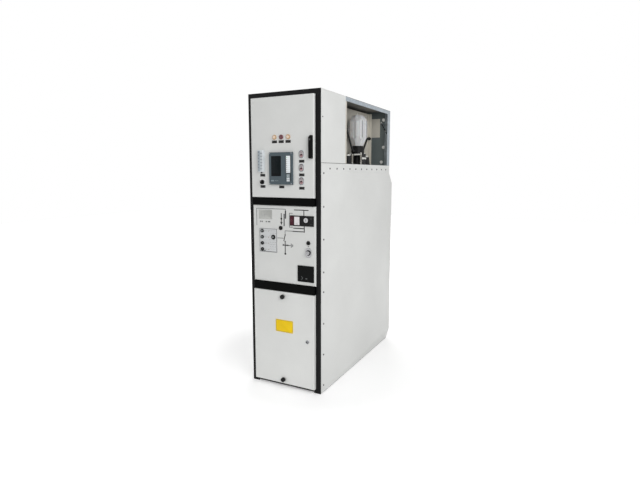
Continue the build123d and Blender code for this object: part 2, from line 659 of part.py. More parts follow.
def breaker_block():
    """Control block of the breaker with pockets for its two pushers and the state window."""
    face = -MID_DEPTH
    front = face - BREAKER_PROUD
    body = block(BREAKER_X, (front, face), BREAKER_Z)
    body = fillet(body.faces().sort_by(Axis.Y)[0].edges(), TRIM_SHEET)
    rear_x = (BREAKER_X[0] + SHEET, BREAKER_X[1] - SHEET)
    body += block(rear_x, (face, 0), (BREAKER_Z[0] + SHEET, BREAKER_Z[1] - SHEET))
    pocket_y = (front, -SHEET)
    room = 2 * FIT_GAP
    body -= block(around(TRIP_X, TRIP_W + room), pocket_y, around(BREAKER_MID_Z, PUSH_H + room))
    body -= peg(CLOSE_X, CLOSE_Z, pocket_y, CLOSE_R + FIT_GAP)
    return body - status_window()


def push_y():
    """Depths of a pusher at rest, with its travel and a clearance left behind it."""
    return (-MID_DEPTH - BREAKER_PROUD - PUSH_PROUD, -SHEET - MOVE_GAP)


def trip_button():
    plate = block(around(TRIP_X, TRIP_W), push_y(), around(BREAKER_MID_Z, PUSH_H))
    return fillet(plate.faces().sort_by(Axis.Y)[0].edges(), TRIM_SHEET)


def close_button():
    disc = peg(CLOSE_X, CLOSE_Z, push_y(), CLOSE_R)
    return fillet(disc.faces().sort_by(Axis.Y)[0].edges(), TRIM_SHEET)


def status_window():
    front = -MID_DEPTH - BREAKER_PROUD
    return block(around(STATUS_X, STATUS_W), (front, front + TRIM_SHEET), around(BREAKER_MID_Z, PUSH_H))


def viewing_window():
    """Black viewing window low on the middle panel."""
    pane = block(WINDOW_X, (-MID_DEPTH - WINDOW_T, -MID_DEPTH), WINDOW_Z)
    pane = fillet(pane.faces().sort_by(Axis.Y)[0].edges(), TRIM_SHEET)
    sight_x = (WINDOW_X[0] + WINDOW_RIM, WINDOW_X[1] - WINDOW_RIM)
    sight_z = (WINDOW_Z[0] + WINDOW_RIM, WINDOW_Z[1] - WINDOW_RIM)
    front = -MID_DEPTH - WINDOW_T
    return pane - block(sight_x, (front, front + WINDOW_RECESS), sight_z)


def socket(x, z, radius, bore, face):
    """Collar round a socket, with its bore."""
    collar = peg(x, z, (face - SOCKET_H, face), radius)
    collar = chamfer(collar.faces().sort_by(Axis.Y)[0].edges(), TRIM_SHEET)
    return collar - peg(x, z, (face - SOCKET_H, face), bore)


def sockets():
    """Drive sockets on the panel and test sockets on the voltage detector."""
    pieces = [socket(x, z, DRIVE_SOCKET_R, DRIVE_BORE_R, -MID_DEPTH) for x, z in DRIVE_SOCKETS]
    for across, up in DETECTOR_SOCKET_SHARES:
        x = DETECTOR_X[0] + DETECTOR_W * across
        z = DETECTOR_Z[0] + DETECTOR_H * up
        pieces.append(socket(x, z, DETECTOR_SOCKET_R, DETECTOR_BORE_R, -MID_DEPTH - DETECTOR_T))
    return pieces


def voltage_detector():
    """Flat box of the voltage detector on the middle panel."""
    plate = block(DETECTOR_X, (-MID_DEPTH - DETECTOR_T, -MID_DEPTH), DETECTOR_Z)
    return fillet(plate.faces().sort_by(Axis.Y)[0].edges(), TRIM_SHEET)


def key_lock():
    """Chrome lock: an oval plate, a barrel and its key slot."""
    face = -MID_DEPTH
    front = Plane(origin=(LOCK_X, face, LOCK_Z), x_dir=(1, 0, 0), z_dir=(0, -1, 0))
    plate = extrude(front * RectangleRounded(LOCK_W, LOCK_H, LOCK_W / 2 - TRIM_SHEET), LOCK_T)
    barrel_y = (face - LOCK_T - LOCK_BARREL_H, face - LOCK_T)
    barrel = peg(LOCK_X, LOCK_Z, barrel_y, LOCK_BARREL_R)
    barrel = fillet(barrel.faces().sort_by(Axis.Y)[0].edges(), TRIM_SHEET)
    slot = block(around(LOCK_X, SHEET), (barrel_y[0], barrel_y[0] + LOCK_T), around(LOCK_Z, LOCK_BARREL_R))
    return plate + barrel - slot


def cable_cover():
    return pan(DOOR_W, COVER_Z, (-COVER_DEPTH, 0), TRIM_SHEET)


def cover_knob(z):
    """Hand knob: a short neck and a fluted grip."""
    face = -COVER_DEPTH
    grip_y = (face - COVER_KNOB_H, face - COVER_KNOB_NECK)
    grip = peg(0, z, grip_y, COVER_KNOB_R)
    for spot in PolarLocations(COVER_KNOB_R + COVER_FLUTE_R / 2, COVER_FLUTES):
        grip -= peg(spot.position.X, z + spot.position.Y, grip_y, COVER_FLUTE_R)
    grip = chamfer(grip.faces().sort_by(Axis.Y)[0].edges(), TRIM_SHEET / 2)
    return grip + peg(0, z, (face - COVER_KNOB_NECK, face), COVER_KNOB_R - 2 * SHEET)


def cover_fasteners():
    """Two knobs and a quarter-turn lock on the lower cover."""
    face = -COVER_DEPTH
    pieces = []
    for z in (COVER_Z[0] + COVER_KNOB_INSET, COVER_Z[1] - COVER_KNOB_INSET):
        pieces.append(cover_knob(z))
    lock_y = (face - COVER_LOCK_H, face)
    lock = peg(COVER_LOCK_X, COVER_LOCK_Z, lock_y, COVER_LOCK_R)
    slot = Rot(Y=45) * Box(SHEET, 2 * SHEET, COVER_LOCK_R)
    pieces.append(lock - Pos(COVER_LOCK_X, lock_y[0], COVER_LOCK_Z) * slot)
    return pieces


def front_bands():
    """Black bands above and below the middle panel."""
    upper = pan(BAND_W, UPPER_BAND_Z, (-BAND_DEPTH, 0), TRIM_SHEET)
    return [pan(BAND_W, LOWER_BAND_Z, (-BAND_DEPTH, 0), TRIM_SHEET), upper]


def save(node, pieces):
    """Moves a node to the row's origin and writes its file."""
    solids = pieces if isinstance(pieces, list) else [pieces]
    moved = [Pos(0, FRAME_Y, 0) * solid for solid in solids]
    shape = moved[0] if len(moved) == 1 else Compound(children=moved)
    export_step(shape, f"parts/{node}.step")


os.makedirs("parts", exist_ok=True)

# Carcass
save("base_frame", base_frame())
save("front_frame", front_frame())
save("housing", housing())
save("side_cover_right", side_cover())
save("side_cover_left", mirror(side_cover(), about=Plane.YZ))
save("lv_wall_right", lv_wall())
save("lv_wall_left", mirror(lv_wall(), about=Plane.YZ))
save("lv_back", lv_back())
save("lv_roof", lv_roof())
save("roof_plate", roof_plate())
save("rear_frame", rear_frame())
save("rear_cover_upper", rear_cover_upper())
save("rear_cover_lower", rear_cover_lower())

# Busbar bay
save("bay_plates", both_sides(bay_plate()) + both_sides(rear_plate()))
save("transformers", both_sides(transformer()))
plugs = both_sides(plug_base())
for step in (-1, 0, 1):
    plugs += both_sides(bushing(UNIT_Y + step * BUSHING_PITCH))
save("plug_bases", plugs)
save("stands", both_sides(stand()))
save("signal_cables", signal_cables())

# Front below the door
save("front_bands", front_bands())
save("mechanism_panel", mechanism_panel())
save("breaker_block", breaker_block())
save("trip_button", trip_button())
save("close_button", close_button())
save("status_window", status_window())
save("viewing_window", viewing_window())
save("sockets", sockets())
save("voltage_detector", voltage_detector())
save("key_lock", key_lock())
save("cable_cover", cable_cover())
save("cover_fasteners", cover_fasteners())

# Instrument door
save("hinge_leaves", [hinge_leaf(level) for level in hinge_levels()])
save("hinge_knuckles", [hinge_knuckle(level) for level in hinge_levels()])
save("lv_door", lv_door())
save("relay", relay())
save("lamps_amber", both_sides(lamp(LAMP_PITCH)))
save("lamp_red", lamp(0))
button_levels = [BUTTON_Z + step * BUTTON_PITCH for step in (-1, 0, 1)]
save("button_bezels", [button_bezel(z) for z in button_levels])
save("button_lower", button_cap(button_levels[0]))
save("button_middle", button_cap(button_levels[1]))
save("button_upper", button_cap(button_levels[2]))
save("test_block", test_block())
save("selector_plate", selector_plate())
save("selector_knob", selector_knob())
save("handle_base", handle_base())
save("handle_lever", handle_lever())
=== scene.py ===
import bmesh
import bpy
from math import atan2, cos, pi, radians, sin
from mathutils import Matrix, Vector


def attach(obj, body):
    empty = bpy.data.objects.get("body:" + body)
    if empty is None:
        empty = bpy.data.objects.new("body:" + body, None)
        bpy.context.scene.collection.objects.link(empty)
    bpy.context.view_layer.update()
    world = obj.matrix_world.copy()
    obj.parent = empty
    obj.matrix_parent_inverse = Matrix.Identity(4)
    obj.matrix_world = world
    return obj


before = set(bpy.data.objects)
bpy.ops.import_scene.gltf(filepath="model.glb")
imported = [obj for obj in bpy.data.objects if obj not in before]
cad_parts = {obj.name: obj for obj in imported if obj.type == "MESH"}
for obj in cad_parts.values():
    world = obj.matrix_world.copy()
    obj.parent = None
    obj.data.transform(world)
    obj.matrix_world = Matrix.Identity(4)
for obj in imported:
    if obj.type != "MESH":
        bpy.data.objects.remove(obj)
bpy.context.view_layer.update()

# Places are in millimetres: x from the middle of the panel, z from the floor, y from the front frame's face
MM = 0.001
FRAME_Y = -673.5
DOOR_FACE = -30
PANEL_FACE = -12
COVER_FACE = -28
BREAKER_FACE = -18
DETECTOR_FACE = -16
SIDE_FACE = 302
WALL_FACE = 300
BACK_FACE = 1400
ROOF_FACE = 2190

# Height of print, and how far one printed line lies above the line that it crosses
PRINT = 0.25
LAYER = 0.015

# Directions that a surface can face: its right, its up and its outward axis as columns
FRONT = Matrix(((1, 0, 0), (0, 0, -1), (0, 1, 0)))
RIGHT = Matrix(((0, 0, 1), (1, 0, 0), (0, 1, 0)))
LEFT = Matrix(((0, 0, -1), (-1, 0, 0), (0, 1, 0)))
REAR = Matrix(((-1, 0, 0), (0, 0, 1), (0, 1, 0)))
UP = Matrix.Identity(3)
SIDES = ((1, RIGHT), (-1, LEFT))


def spin(base, turn):
    """A frame turned about its outward axis, in degrees."""
    return base @ Matrix.Rotation(radians(turn), 4, "Z")


def shift(base, u, v, w=0):
    """A frame moved along its own axes."""
    return base @ Matrix.Translation((u, v, w))


def seat(facing, x, y, z, turn=0):
    """The frame of a detail on a surface, drawn in millimetres with its third axis outwards."""
    place = Matrix.Translation(Vector((x, y + FRAME_Y, z)) * MM)
    return spin(place @ facing.to_4x4(), turn) @ Matrix.Scale(MM, 4)


# Materials

# Sockets of the mix node's colour variant
MIX_FIRST, MIX_SECOND, MIX_RESULT = 6, 7, 2
# Agreement of the rounded with the flat normal, from no edge to a full one
EDGE_BEND = (0.99, 0.86)
# Openness of a place, from no corner to a full one
CORNER_SHADE = (0.75, 0.25)


def linear(red, green, blue):
    """A display colour of 0 to 255 as linear light."""
    out = []
    for value in (red, green, blue):
        value /= 255
        out.append(value / 12.92 if value <= 0.04045 else ((value + 0.055) / 1.055) ** 2.4)
    return (*out, 1.0)


def tint(colour, factor):
    """A colour made darker or paler."""
    return (*(min(1.0, value * factor) for value in colour[:3]), 1.0)


class Shader:
    """A material's node tree with short ways to add and join nodes."""

    def __init__(self, name):
        self.material = bpy.data.materials.new(name)
        self.material.use_nodes = True
        self.tree = self.material.node_tree
        self.surface = self.tree.nodes["Principled BSDF"]
        self.coords = self.add("TexCoord").outputs["Object"]

    def add(self, kind, **settings):
        node = self.tree.nodes.new("ShaderNode" + kind)
        for key, value in settings.items():
            setattr(node, key, value)
        return node

    def join(self, source, target):
        self.tree.links.new(source, target)

    def fill(self, node, **values):
        """Constants of a node, with underscores for the spaces in a socket's name."""
        for key, value in values.items():
            node.inputs[key.replace("_", " ")].default_value = value

    def set(self, **values):
        self.fill(self.surface, **values)

    def stretched(self, scale):
        """Coordinates that run slower or faster along each axis."""
        node = self.add("Mapping")
        self.fill(node, Scale=scale)
        self.join(self.coords, node.inputs["Vector"])
        return node.outputs["Vector"]

    def noise(self, scale, detail=3.0, rough=0.55, coords=None):
        node = self.add("TexNoise")
        self.fill(node, Scale=scale, Detail=detail, Roughness=rough)
        self.join(coords or self.coords, node.inputs["Vector"])
        return node.outputs["Fac"]

    def cells(self, scale, **settings):
        node = self.add("TexVoronoi", **settings)
        self.fill(node, Scale=scale)
        self.join(self.coords, node.inputs["Vector"])
        return node

    def remap(self, source, low=0.3, high=0.7, start=0.0, end=1.0):
        node = self.add("MapRange")
        self.fill(node, From_Min=low, From_Max=high, To_Min=start, To_Max=end)
        self.join(source, node.inputs["Value"])
        return node.outputs["Result"]

    def times(self, first, second):
        """Product of an output with another output or a number."""
        node = self.add("Math", operation="MULTIPLY")
        for source, socket in zip((first, second), node.inputs):
            if isinstance(source, (int, float)):
                socket.default_value = source
            else:
                self.join(source, socket)
        return node.outputs["Value"]

    def blend(self, share, first, second):
        """Colour between two colours or colour outputs."""
        node = self.add("Mix", data_type="RGBA")
        self.join(share, node.inputs["Factor"])
        for source, socket in ((first, node.inputs[MIX_FIRST]), (second, node.inputs[MIX_SECOND])):
            if isinstance(source, tuple):
                socket.default_value = source
            else:
                self.join(source, socket)
        return node.outputs[MIX_RESULT]

    def edges(self, radius):
        """A rounded normal, and a mask that is high where an edge bends it."""
        rounded = self.add("Bevel", samples=4)
        self.fill(rounded, Radius=radius)
        flat = self.add("NewGeometry")
        dot = self.add("VectorMath", operation="DOT_PRODUCT")
        self.join(rounded.outputs["Normal"], dot.inputs[0])
        self.join(flat.outputs["Normal"], dot.inputs[1])
        return rounded.outputs["Normal"], self.remap(dot.outputs["Value"], *EDGE_BEND)

    def corners(self, distance):
        """A mask that is high in seams and inner corners."""
        shade = self.add("AmbientOcclusion", samples=4, only_local=False)
        self.fill(shade, Distance=distance)
        return self.remap(shade.outputs["AO"], *CORNER_SHADE)

    def bump(self, height, normal, strength, depth):
        node = self.add("Bump")
        self.fill(node, Strength=strength, Distance=depth)
        self.join(height, node.inputs["Height"])
        self.join(normal, node.inputs["Normal"])
        self.join(node.outputs["Normal"], self.surface.inputs["Normal"])

    def colour(self, source):
        self.join(source, self.surface.inputs["Base Color"])

    def roughness(self, source, *span):
        """Roughness from an output, spread as remap spreads it."""
        self.join(self.remap(source, *span), self.surface.inputs["Roughness"])


def powder_coat(name, rgb, rough, wear, shade=0.05, dust_and_shade=0.35, gloss=0.5):
    """Sprayed paint on sheet metal: orange peel, faint patches, rubbed edges, and painted shade in the seams
    and inner corners, broken up by dust patches.
    """
    s = Shader(name)
    colour = linear(*rgb)
    patches = s.remap(s.noise(2.2, detail=5.0))
    mottled = s.blend(patches, tint(colour, 1 - shade), tint(colour, 1 + shade))
    flecks = s.times(s.remap(s.noise(900, detail=1.0), 0.62, 0.75), 0.25)
    flecked = s.blend(flecks, mottled, tint(colour, 0.86))
    normal, edge = s.edges(0.0012)
    rubbed = s.times(s.times(edge, s.remap(s.noise(55, detail=4.0), 0.45, 0.75)), 0.7)
    worn = s.blend(rubbed, flecked, linear(*wear))
    # Painted shade in seams and inner corners, made patchy by a dust noise: partly dust, partly painted shade
    dust = s.remap(s.noise(14, detail=4.0))
    crevice_shade = s.times(s.times(s.corners(0.012), dust), dust_and_shade)
    s.colour(s.blend(crevice_shade, worn, tint(colour, 0.45)))
    s.roughness(s.noise(9, detail=4.0), 0.25, 0.75, rough - 0.07, rough + 0.07)
    s.bump(s.noise(260, detail=2.0), normal, strength=0.12, depth=0.0006)
    s.set(Specular_IOR_Level=gloss)
    return s.material


def zinc(name, rgb, rough):
    """Galvanised sheet with its flowers of zinc."""
    s = Shader(name)
    colour = linear(*rgb)
    split = s.add("SeparateColor")
    s.join(s.cells(70).outputs["Color"], split.inputs["Color"])
    flower = split.outputs["Red"]
    base = s.blend(flower, tint(colour, 0.82), tint(colour, 1.12))
    stains = s.times(s.remap(s.noise(6, detail=5.0), 0.5, 0.75), 0.4)
    s.colour(s.blend(stains, base, tint(colour, 0.6)))
    s.roughness(flower, 0.0, 1.0, rough - 0.08, rough + 0.1)
    s.bump(s.noise(420, detail=2.0), s.edges(0.0008)[0], strength=0.1, depth=0.0004)
    s.set(Metallic=0.75)
    return s.material


def plastic(name, rgb, rough=0.4, grain=800, shade=0.06, coat=0.0, depth=0.0003, gloss=0.5):
    """Moulded plastic with a fine spark-eroded grain and paler rubbed edges."""
    s = Shader(name)
    colour = linear(*rgb)
    patches = s.remap(s.noise(18, detail=4.0))
    base = s.blend(patches, tint(colour, 1 - shade), tint(colour, 1 + shade))
    normal, edge = s.edges(0.0007)
    rubbed = s.times(s.times(edge, s.remap(s.noise(120), 0.4, 0.8)), 0.3)
    pale = (*(value * 0.85 + 0.05 for value in colour[:3]), 1.0)
    s.colour(s.blend(rubbed, base, pale))
    s.roughness(s.noise(40, detail=4.0), 0.25, 0.75, rough - 0.06, rough + 0.08)
    s.bump(s.noise(grain, detail=2.0), normal, strength=0.15, depth=depth)
    s.set(Coat_Weight=coat, Specular_IOR_Level=gloss)
    return s.material


def metal(name, rgb, rough, brushed=0.0):
    """Plated or polished metal, with fine scratches that run one way where it is brushed."""
    s = Shader(name)
    colour = linear(*rgb)
    scratch = s.noise(300, rough=0.5, coords=s.stretched((1.0, 1.0, 1.0 + brushed)))
    tarnish = s.times(s.remap(s.noise(60, detail=4.0), 0.5, 0.8), 0.5)
    s.colour(s.blend(tarnish, colour, tint(colour, 0.55)))
    s.roughness(scratch, 0.3, 0.7, rough - 0.08, rough + 0.1)
    s.bump(scratch, s.edges(0.0004)[0], strength=0.08, depth=0.0002)
    s.set(Metallic=1.0)
    return s.material


def glass(name, rgb, rough):
    """Dark glossy pane with faint smears."""
    s = Shader(name)
    colour = linear(*rgb)
    smears = s.noise(25, detail=6.0, rough=0.7)
    s.colour(s.blend(s.remap(smears, 0.35, 0.8), colour, tint(colour, 1.5)))
    s.roughness(smears, 0.3, 0.8, rough, rough + 0.14)
    s.bump(s.noise(8, detail=2.0), s.edges(0.0008)[0], strength=0.04, depth=0.0006)
    s.set(Specular_IOR_Level=0.06)
    return s.material


def lens(name, rgb, glow=0.0):
    """Coloured lens of a lamp, lighter towards its middle through fine prisms."""
    s = Shader(name)
    colour = linear(*rgb)
    prisms = s.cells(420, feature="SMOOTH_F1").outputs["Distance"]
    s.colour(s.blend(s.remap(prisms, 0.1, 0.7), tint(colour, 1.25), tint(colour, 0.7)))
    s.roughness(s.noise(90), 0.3, 0.7, 0.12, 0.26)
    s.bump(prisms, s.edges(0.0006)[0], strength=0.25, depth=0.0004)
    s.set(Coat_Weight=0.6, Subsurface_Weight=0.15, Subsurface_Scale=0.004)
    s.set(Emission_Color=colour, Emission_Strength=glow)
    return s.material


def resin(name, rgb):
    """Cast resin: smooth, a little cloudy, with flow marks down its height that are strong enough to paint
    the light and shade of its facets, and painted shade in its flutes and corners.
    """
    s = Shader(name)
    colour = linear(*rgb)
    # Pale and dark streaks down the height: flow marks, made strong enough to paint the highlights and shade
    # of the facets
    flow_and_facet_light = s.noise(1.0, detail=4.0, rough=0.5, coords=s.stretched((30.0, 30.0, 1.6)))
    base = s.blend(s.remap(flow_and_facet_light), tint(colour, 0.72), tint(colour, 1.12))
    # Painted shade in the flutes and corners
    crevice_shade = s.times(s.corners(0.03), 0.75)
    s.colour(s.blend(crevice_shade, base, tint(colour, 0.45)))
    s.roughness(s.noise(20, detail=4.0), 0.3, 0.7, 0.22, 0.4)
    s.bump(s.noise(120, detail=2.0), s.edges(0.002)[0], strength=0.06, depth=0.0005)
    s.set(Coat_Weight=0.2, Subsurface_Weight=0.08, Subsurface_Scale=0.01)
    return s.material


# Display colours of 0 to 255, and what else differs from the maker's own values
BARE = (150, 152, 155)
PAINTS = {
    "black_paint": dict(rgb=(15, 15, 16), rough=0.5, wear=(52, 52, 52), shade=0.12, gloss=0.13),
    "pale_paint": dict(rgb=(213, 214, 212), rough=0.5, wear=(190, 192, 192)),
    "band_black": dict(rgb=(4, 4, 4), rough=0.45, wear=(32, 32, 32), shade=0.1, dust_and_shade=0.2, gloss=0.04),
    "body_grey": dict(rgb=(118, 122, 124), rough=0.5, wear=BARE, shade=0.1, dust_and_shade=0.6),
    "beige_plate": dict(rgb=(192, 188, 177), rough=0.55, wear=BARE, shade=0.1, dust_and_shade=0.6),
    # Beige of the plates, darkened to paint the shade under the roof of the bay
    "bay_roof": dict(rgb=(108, 106, 101), rough=0.6, wear=BARE, shade=0.16, dust_and_shade=0.7, gloss=0.3),
    # Dark grey on the upper rear cover that paints the shade at the back of the bay
    "bay_rear": dict(rgb=(98, 106, 106), rough=0.5, wear=BARE, shade=0.14, dust_and_shade=0.6, gloss=0.3),
    "detector_grey": dict(rgb=(204, 206, 207), rough=0.45, wear=(180, 182, 184)),
}
ZINCS = {
    "galvanised": dict(rgb=(168, 177, 184), rough=0.42),
    "stand_zinc": dict(rgb=(196, 192, 184), rough=0.5),
}
RESINS = {
    # The resin's pale grey, darkened to paint the shade that the bay roof casts on the transformers
    "cast_resin": dict(rgb=(197, 198, 199)),
}
PLASTICS = {
    "black_rubber": dict(rgb=(20, 20, 21), rough=0.62, grain=500, shade=0.15, depth=0.0005, gloss=0.25),
    "relay_grey": dict(rgb=(72, 84, 90), rough=0.5, grain=900, shade=0.05, gloss=0.3),
    "amber_rim": dict(rgb=(190, 156, 118)),
    "red_rim": dict(rgb=(124, 70, 76)),
    "mark_maroon": dict(rgb=(38, 26, 29), rough=0.42, shade=0.08, gloss=0.3),
    "button_grey": dict(rgb=(182, 179, 180), rough=0.38, coat=0.1),
    "button_rim": dict(rgb=(66, 58, 60), shade=0.08, gloss=0.3),
    "button_red": dict(rgb=(160, 120, 124), rough=0.36, coat=0.15),
    "trip_red": dict(rgb=(64, 14, 30), rough=0.42, shade=0.08, gloss=0.2),
    "trip_mark": dict(rgb=(96, 44, 56)),
    "test_grey": dict(rgb=(208, 214, 217), rough=0.42, grain=700, shade=0.05, coat=0.1),
    "test_dark": dict(rgb=(156, 166, 173), rough=0.42, grain=700, coat=0.1),
    "dial_grey": dict(rgb=(234, 235, 235), shade=0.04, coat=0.1),
    "black_plastic": dict(rgb=(11, 11, 11), rough=0.42, shade=0.12, gloss=0.17),
    "handle_black": dict(rgb=(5, 5, 5), rough=0.5, shade=0.12, gloss=0.08),
    "white_plastic": dict(rgb=(228, 224, 225), rough=0.36, shade=0.04, coat=0.1),
    "cap_grey": dict(rgb=(142, 148, 147)),
    "close_grey": dict(rgb=(192, 192, 194), rough=0.36, shade=0.05, coat=0.1),
    "bolt_bright": dict(rgb=(224, 224, 220), grain=600, shade=0.08),
    # Dark plates on the relay's face that paint the shade of its joint lines
    "groove_dark": dict(rgb=(34, 41, 44), rough=0.5, grain=900, shade=0.08, gloss=0.25),
    "label_black": dict(rgb=(16, 15, 15), rough=0.45, grain=900, shade=0.15, gloss=0.25),
    "label_strip": dict(rgb=(232, 238, 241), grain=900, shade=0.03),
    "key_pale": dict(rgb=(176, 187, 190), rough=0.55, grain=900, shade=0.04, gloss=0.35),
    "key_dim": dict(rgb=(128, 140, 146), rough=0.55, grain=900, shade=0.04, gloss=0.35),
    "plate_yellow": dict(rgb=(236, 198, 12), rough=0.45, grain=500, shade=0.05, gloss=0.2),
    "print_black": dict(rgb=(24, 24, 26), rough=0.5, grain=900, shade=0.08, gloss=0.2),
    "print_dark": dict(rgb=(58, 58, 60), rough=0.5, grain=900, shade=0.08, gloss=0.3),
    "print_grey": dict(rgb=(98, 100, 101), rough=0.5, grain=900),
}
METALS = {
    "screw_zinc": dict(rgb=(172, 174, 178), rough=0.34),
    "plate_metal": dict(rgb=(156, 157, 154), rough=0.42, brushed=40.0),
    "dark_metal": dict(rgb=(92, 92, 94), rough=0.4),
    "lock_metal": dict(rgb=(158, 158, 160), rough=0.36),
}
PANES = {
    "window_black": dict(rgb=(8, 9, 9), rough=0.2),
    "screen_glass": dict(rgb=(11, 15, 17), rough=0.14),
    "screen_picture": dict(rgb=(15, 21, 23), rough=0.2),
}
LENSES = {
    "amber_lens": dict(rgb=(212, 186, 154), glow=0.02),
    # Pale, faintly glowing spot in the amber lenses: a painted highlight for the reflection in each lens
    "amber_core": dict(rgb=(232, 212, 192), glow=0.03),
    "red_lens": dict(rgb=(92, 26, 38), glow=0.01),
    "lens_pale": dict(rgb=(186, 176, 178), glow=0.01),
    "led_green": dict(rgb=(64, 190, 84), glow=0.25),
    "led_off": dict(rgb=(140, 120, 96)),
}
MAKERS = (
    (powder_coat, PAINTS), (zinc, ZINCS), (resin, RESINS), (plastic, PLASTICS),
    (metal, METALS), (glass, PANES), (lens, LENSES),
)
finish = {}
for make, table in MAKERS:
    for name, values in table.items():
        finish[name] = make(name, **values)

NODE_FINISH = {
    "black_paint": ("base_frame", "front_frame", "stands", "hinge_leaves", "hinge_knuckles"),
    "body_grey": ("housing",),
    "pale_paint": (
        "side_cover_right", "side_cover_left", "lv_wall_right", "lv_wall_left", "lv_roof",
        "rear_cover_lower", "mechanism_panel", "cable_cover", "lv_door",
    ),
    "beige_plate": ("lv_back", "bay_plates"),
    "bay_roof": ("roof_plate",),
    "galvanised": ("rear_frame",),
    "bay_rear": ("rear_cover_upper",),
    "cast_resin": ("transformers",),
    "black_rubber": ("plug_bases", "signal_cables"),
    "band_black": ("front_bands",),
    "black_plastic": ("breaker_block", "sockets", "cover_fasteners", "selector_knob"),
    "trip_red": ("trip_button",),
    "close_grey": ("close_button",),
    "white_plastic": ("status_window",),
    "window_black": ("viewing_window",),
    "detector_grey": ("voltage_detector",),
    "lock_metal": ("key_lock",),
    "relay_grey": ("relay",),
    "amber_lens": ("lamps_amber",),
    "red_lens": ("lamp_red",),
    "button_grey": ("button_bezels",),
    "button_red": ("button_lower", "button_middle", "button_upper"),
    "test_grey": ("test_block",),
    "dial_grey": ("selector_plate",),
    "handle_black": ("handle_base", "handle_lever"),
}
for look, nodes in NODE_FINISH.items():
    for node in nodes:
        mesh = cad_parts[node].data
        mesh.materials.clear()
        mesh.materials.append(finish[look])


# Mesh building

# Faces that meet at more than this angle, in degrees, keep a sharp edge between them
SHARP_ANGLE = 32
# Share of a bevel at which its rounding has one more step
SOFT = 0.3
DOME_STEPS = 5
# Share of a dome's rise that is upright wall
DOME_WALL = 0.3
# Corner radius of a printed line as a share of its width
STROKE_CORNER = 0.3


def circle(radius, w, count=24):
    """A ring of points round the third axis."""
    steps = [2 * pi * i / count for i in range(count)]
    return [(radius * cos(a), radius * sin(a), w) for a in steps]


def hexagon(radius, w, count=24):
    """A ring with as many points as a circle, lying on a hexagon."""
    points = []
    for i in range(count):
        angle = 2 * pi * i / count
        offset = (angle % (pi / 3)) - pi / 6
        reach = radius * cos(pi / 6) / cos(offset)
        points.append((reach * cos(angle), reach * sin(angle), w))
    return points


def rounded(width, height, radius, w, steps=4):
    """A rectangle with rounded corners as a ring of points."""
    points = []
    for quarter in range(4):
        angle = quarter * pi / 2
        side_u = 1 if quarter in (0, 3) else -1
        side_v = 1 if quarter in (0, 1) else -1
        for i in range(steps + 1):
            a = angle + pi / 2 * i / steps
            u = side_u * (width / 2 - radius) + radius * cos(a)
            v = side_v * (height / 2 - radius) + radius * sin(a)
            points.append((u, v, w))
    return points


def loft(bm, matrix, rings, look=0, cap=True):
    """Skins a stack of rings, and closes the last one unless it is a bore."""
    rows = [[bm.verts.new(matrix @ Vector(point)) for point in ring] for ring in rings]
    faces = [bm.faces.new(rows[-1])] if cap else []
    for low, high in zip(rows, rows[1:]):
        for i in range(len(low)):
            j = (i + 1) % len(low)
            faces.append(bm.faces.new((low[i], low[j], high[j], high[i])))
    for face in faces:
        face.material_index = look
        face.smooth = True


def plate(bm, matrix, size, radius, rise, edge, look=0):
    """A flat plate with rounded corners and a bevelled front edge."""
    width, height = size
    soft = SOFT * edge
    rings = [
        rounded(width, height, radius, 0),
        rounded(width, height, radius, rise - edge),
        rounded(width - 2 * soft, height - 2 * soft, radius - soft, rise - soft),
        rounded(width - 2 * edge, height - 2 * edge, radius - edge, rise),
    ]
    loft(bm, matrix, rings, look)


def frame_plate(bm, matrix, size, radius, rim, rise, look=0, steps=4):
    """A flat rim round an opening."""
    width, height = size
    inner = max(radius - rim, 0.2)
    rings = [
        rounded(width, height, radius, 0, steps),
        rounded(width, height, radius, rise, steps),
        rounded(width - 2 * rim, height - 2 * rim, inner, rise, steps),
        rounded(width - 2 * rim, height - 2 * rim, inner, 0, steps),
    ]
    loft(bm, matrix, rings, look, cap=False)


def dome(bm, matrix, radius, rise, look=0, count=20):
    """A round button with a domed face."""
    rings = [circle(radius, 0, count)]
    for step in range(DOME_STEPS):
        angle = pi / 2 * step / DOME_STEPS
        w = rise * (DOME_WALL + (1 - DOME_WALL) * sin(angle))
        rings.append(circle(radius * cos(angle), w, count))
    loft(bm, matrix, rings, look)


def collar(bm, matrix, outer, inner, rise, look=0, count=32):
    """A turned ring with rounded edges round a bore."""
    edge = min((outer - inner) * 0.3, rise * 0.4)
    soft = SOFT * edge
    rings = [
        circle(outer, 0, count),
        circle(outer, rise - edge, count),
        circle(outer - soft, rise - soft, count),
        circle(outer - edge, rise, count),
        circle(inner + edge, rise, count),
        circle(inner + soft, rise - soft, count),
        circle(inner, rise - edge, count),
        circle(inner, 0, count),
    ]
    loft(bm, matrix, rings, look, cap=False)


# Rings of a fastener as shares of its radius and its rise
SCREW_RINGS = (
    (circle, 1.25, 0), (circle, 1.25, 0.18), (circle, 1, 0.22), (circle, 0.97, 0.6),
    (circle, 0.82, 0.9), (circle, 0.62, 1), (hexagon, 0.5, 1), (hexagon, 0.46, 0.35),
)
BOLT_RINGS = (
    (circle, 1.35, 0), (circle, 1.35, 0.22), (circle, 1.05, 0.24), (hexagon, 1, 0.26),
    (hexagon, 1, 0.92), (hexagon, 0.9, 1), (circle, 0.7, 1), (circle, 0.66, 0.95),
)


def screw(bm, matrix, radius, rise, look=0):
    """A pan-head screw with a washer face and a hexagon socket."""
    loft(bm, matrix, [ring(radius * r, rise * w) for ring, r, w in SCREW_RINGS], look)


def bolt(bm, matrix, radius, rise, look=0):
    """A hexagon bolt on a washer."""
    loft(bm, matrix, [ring(radius * r, rise * w) for ring, r, w in BOLT_RINGS], look)


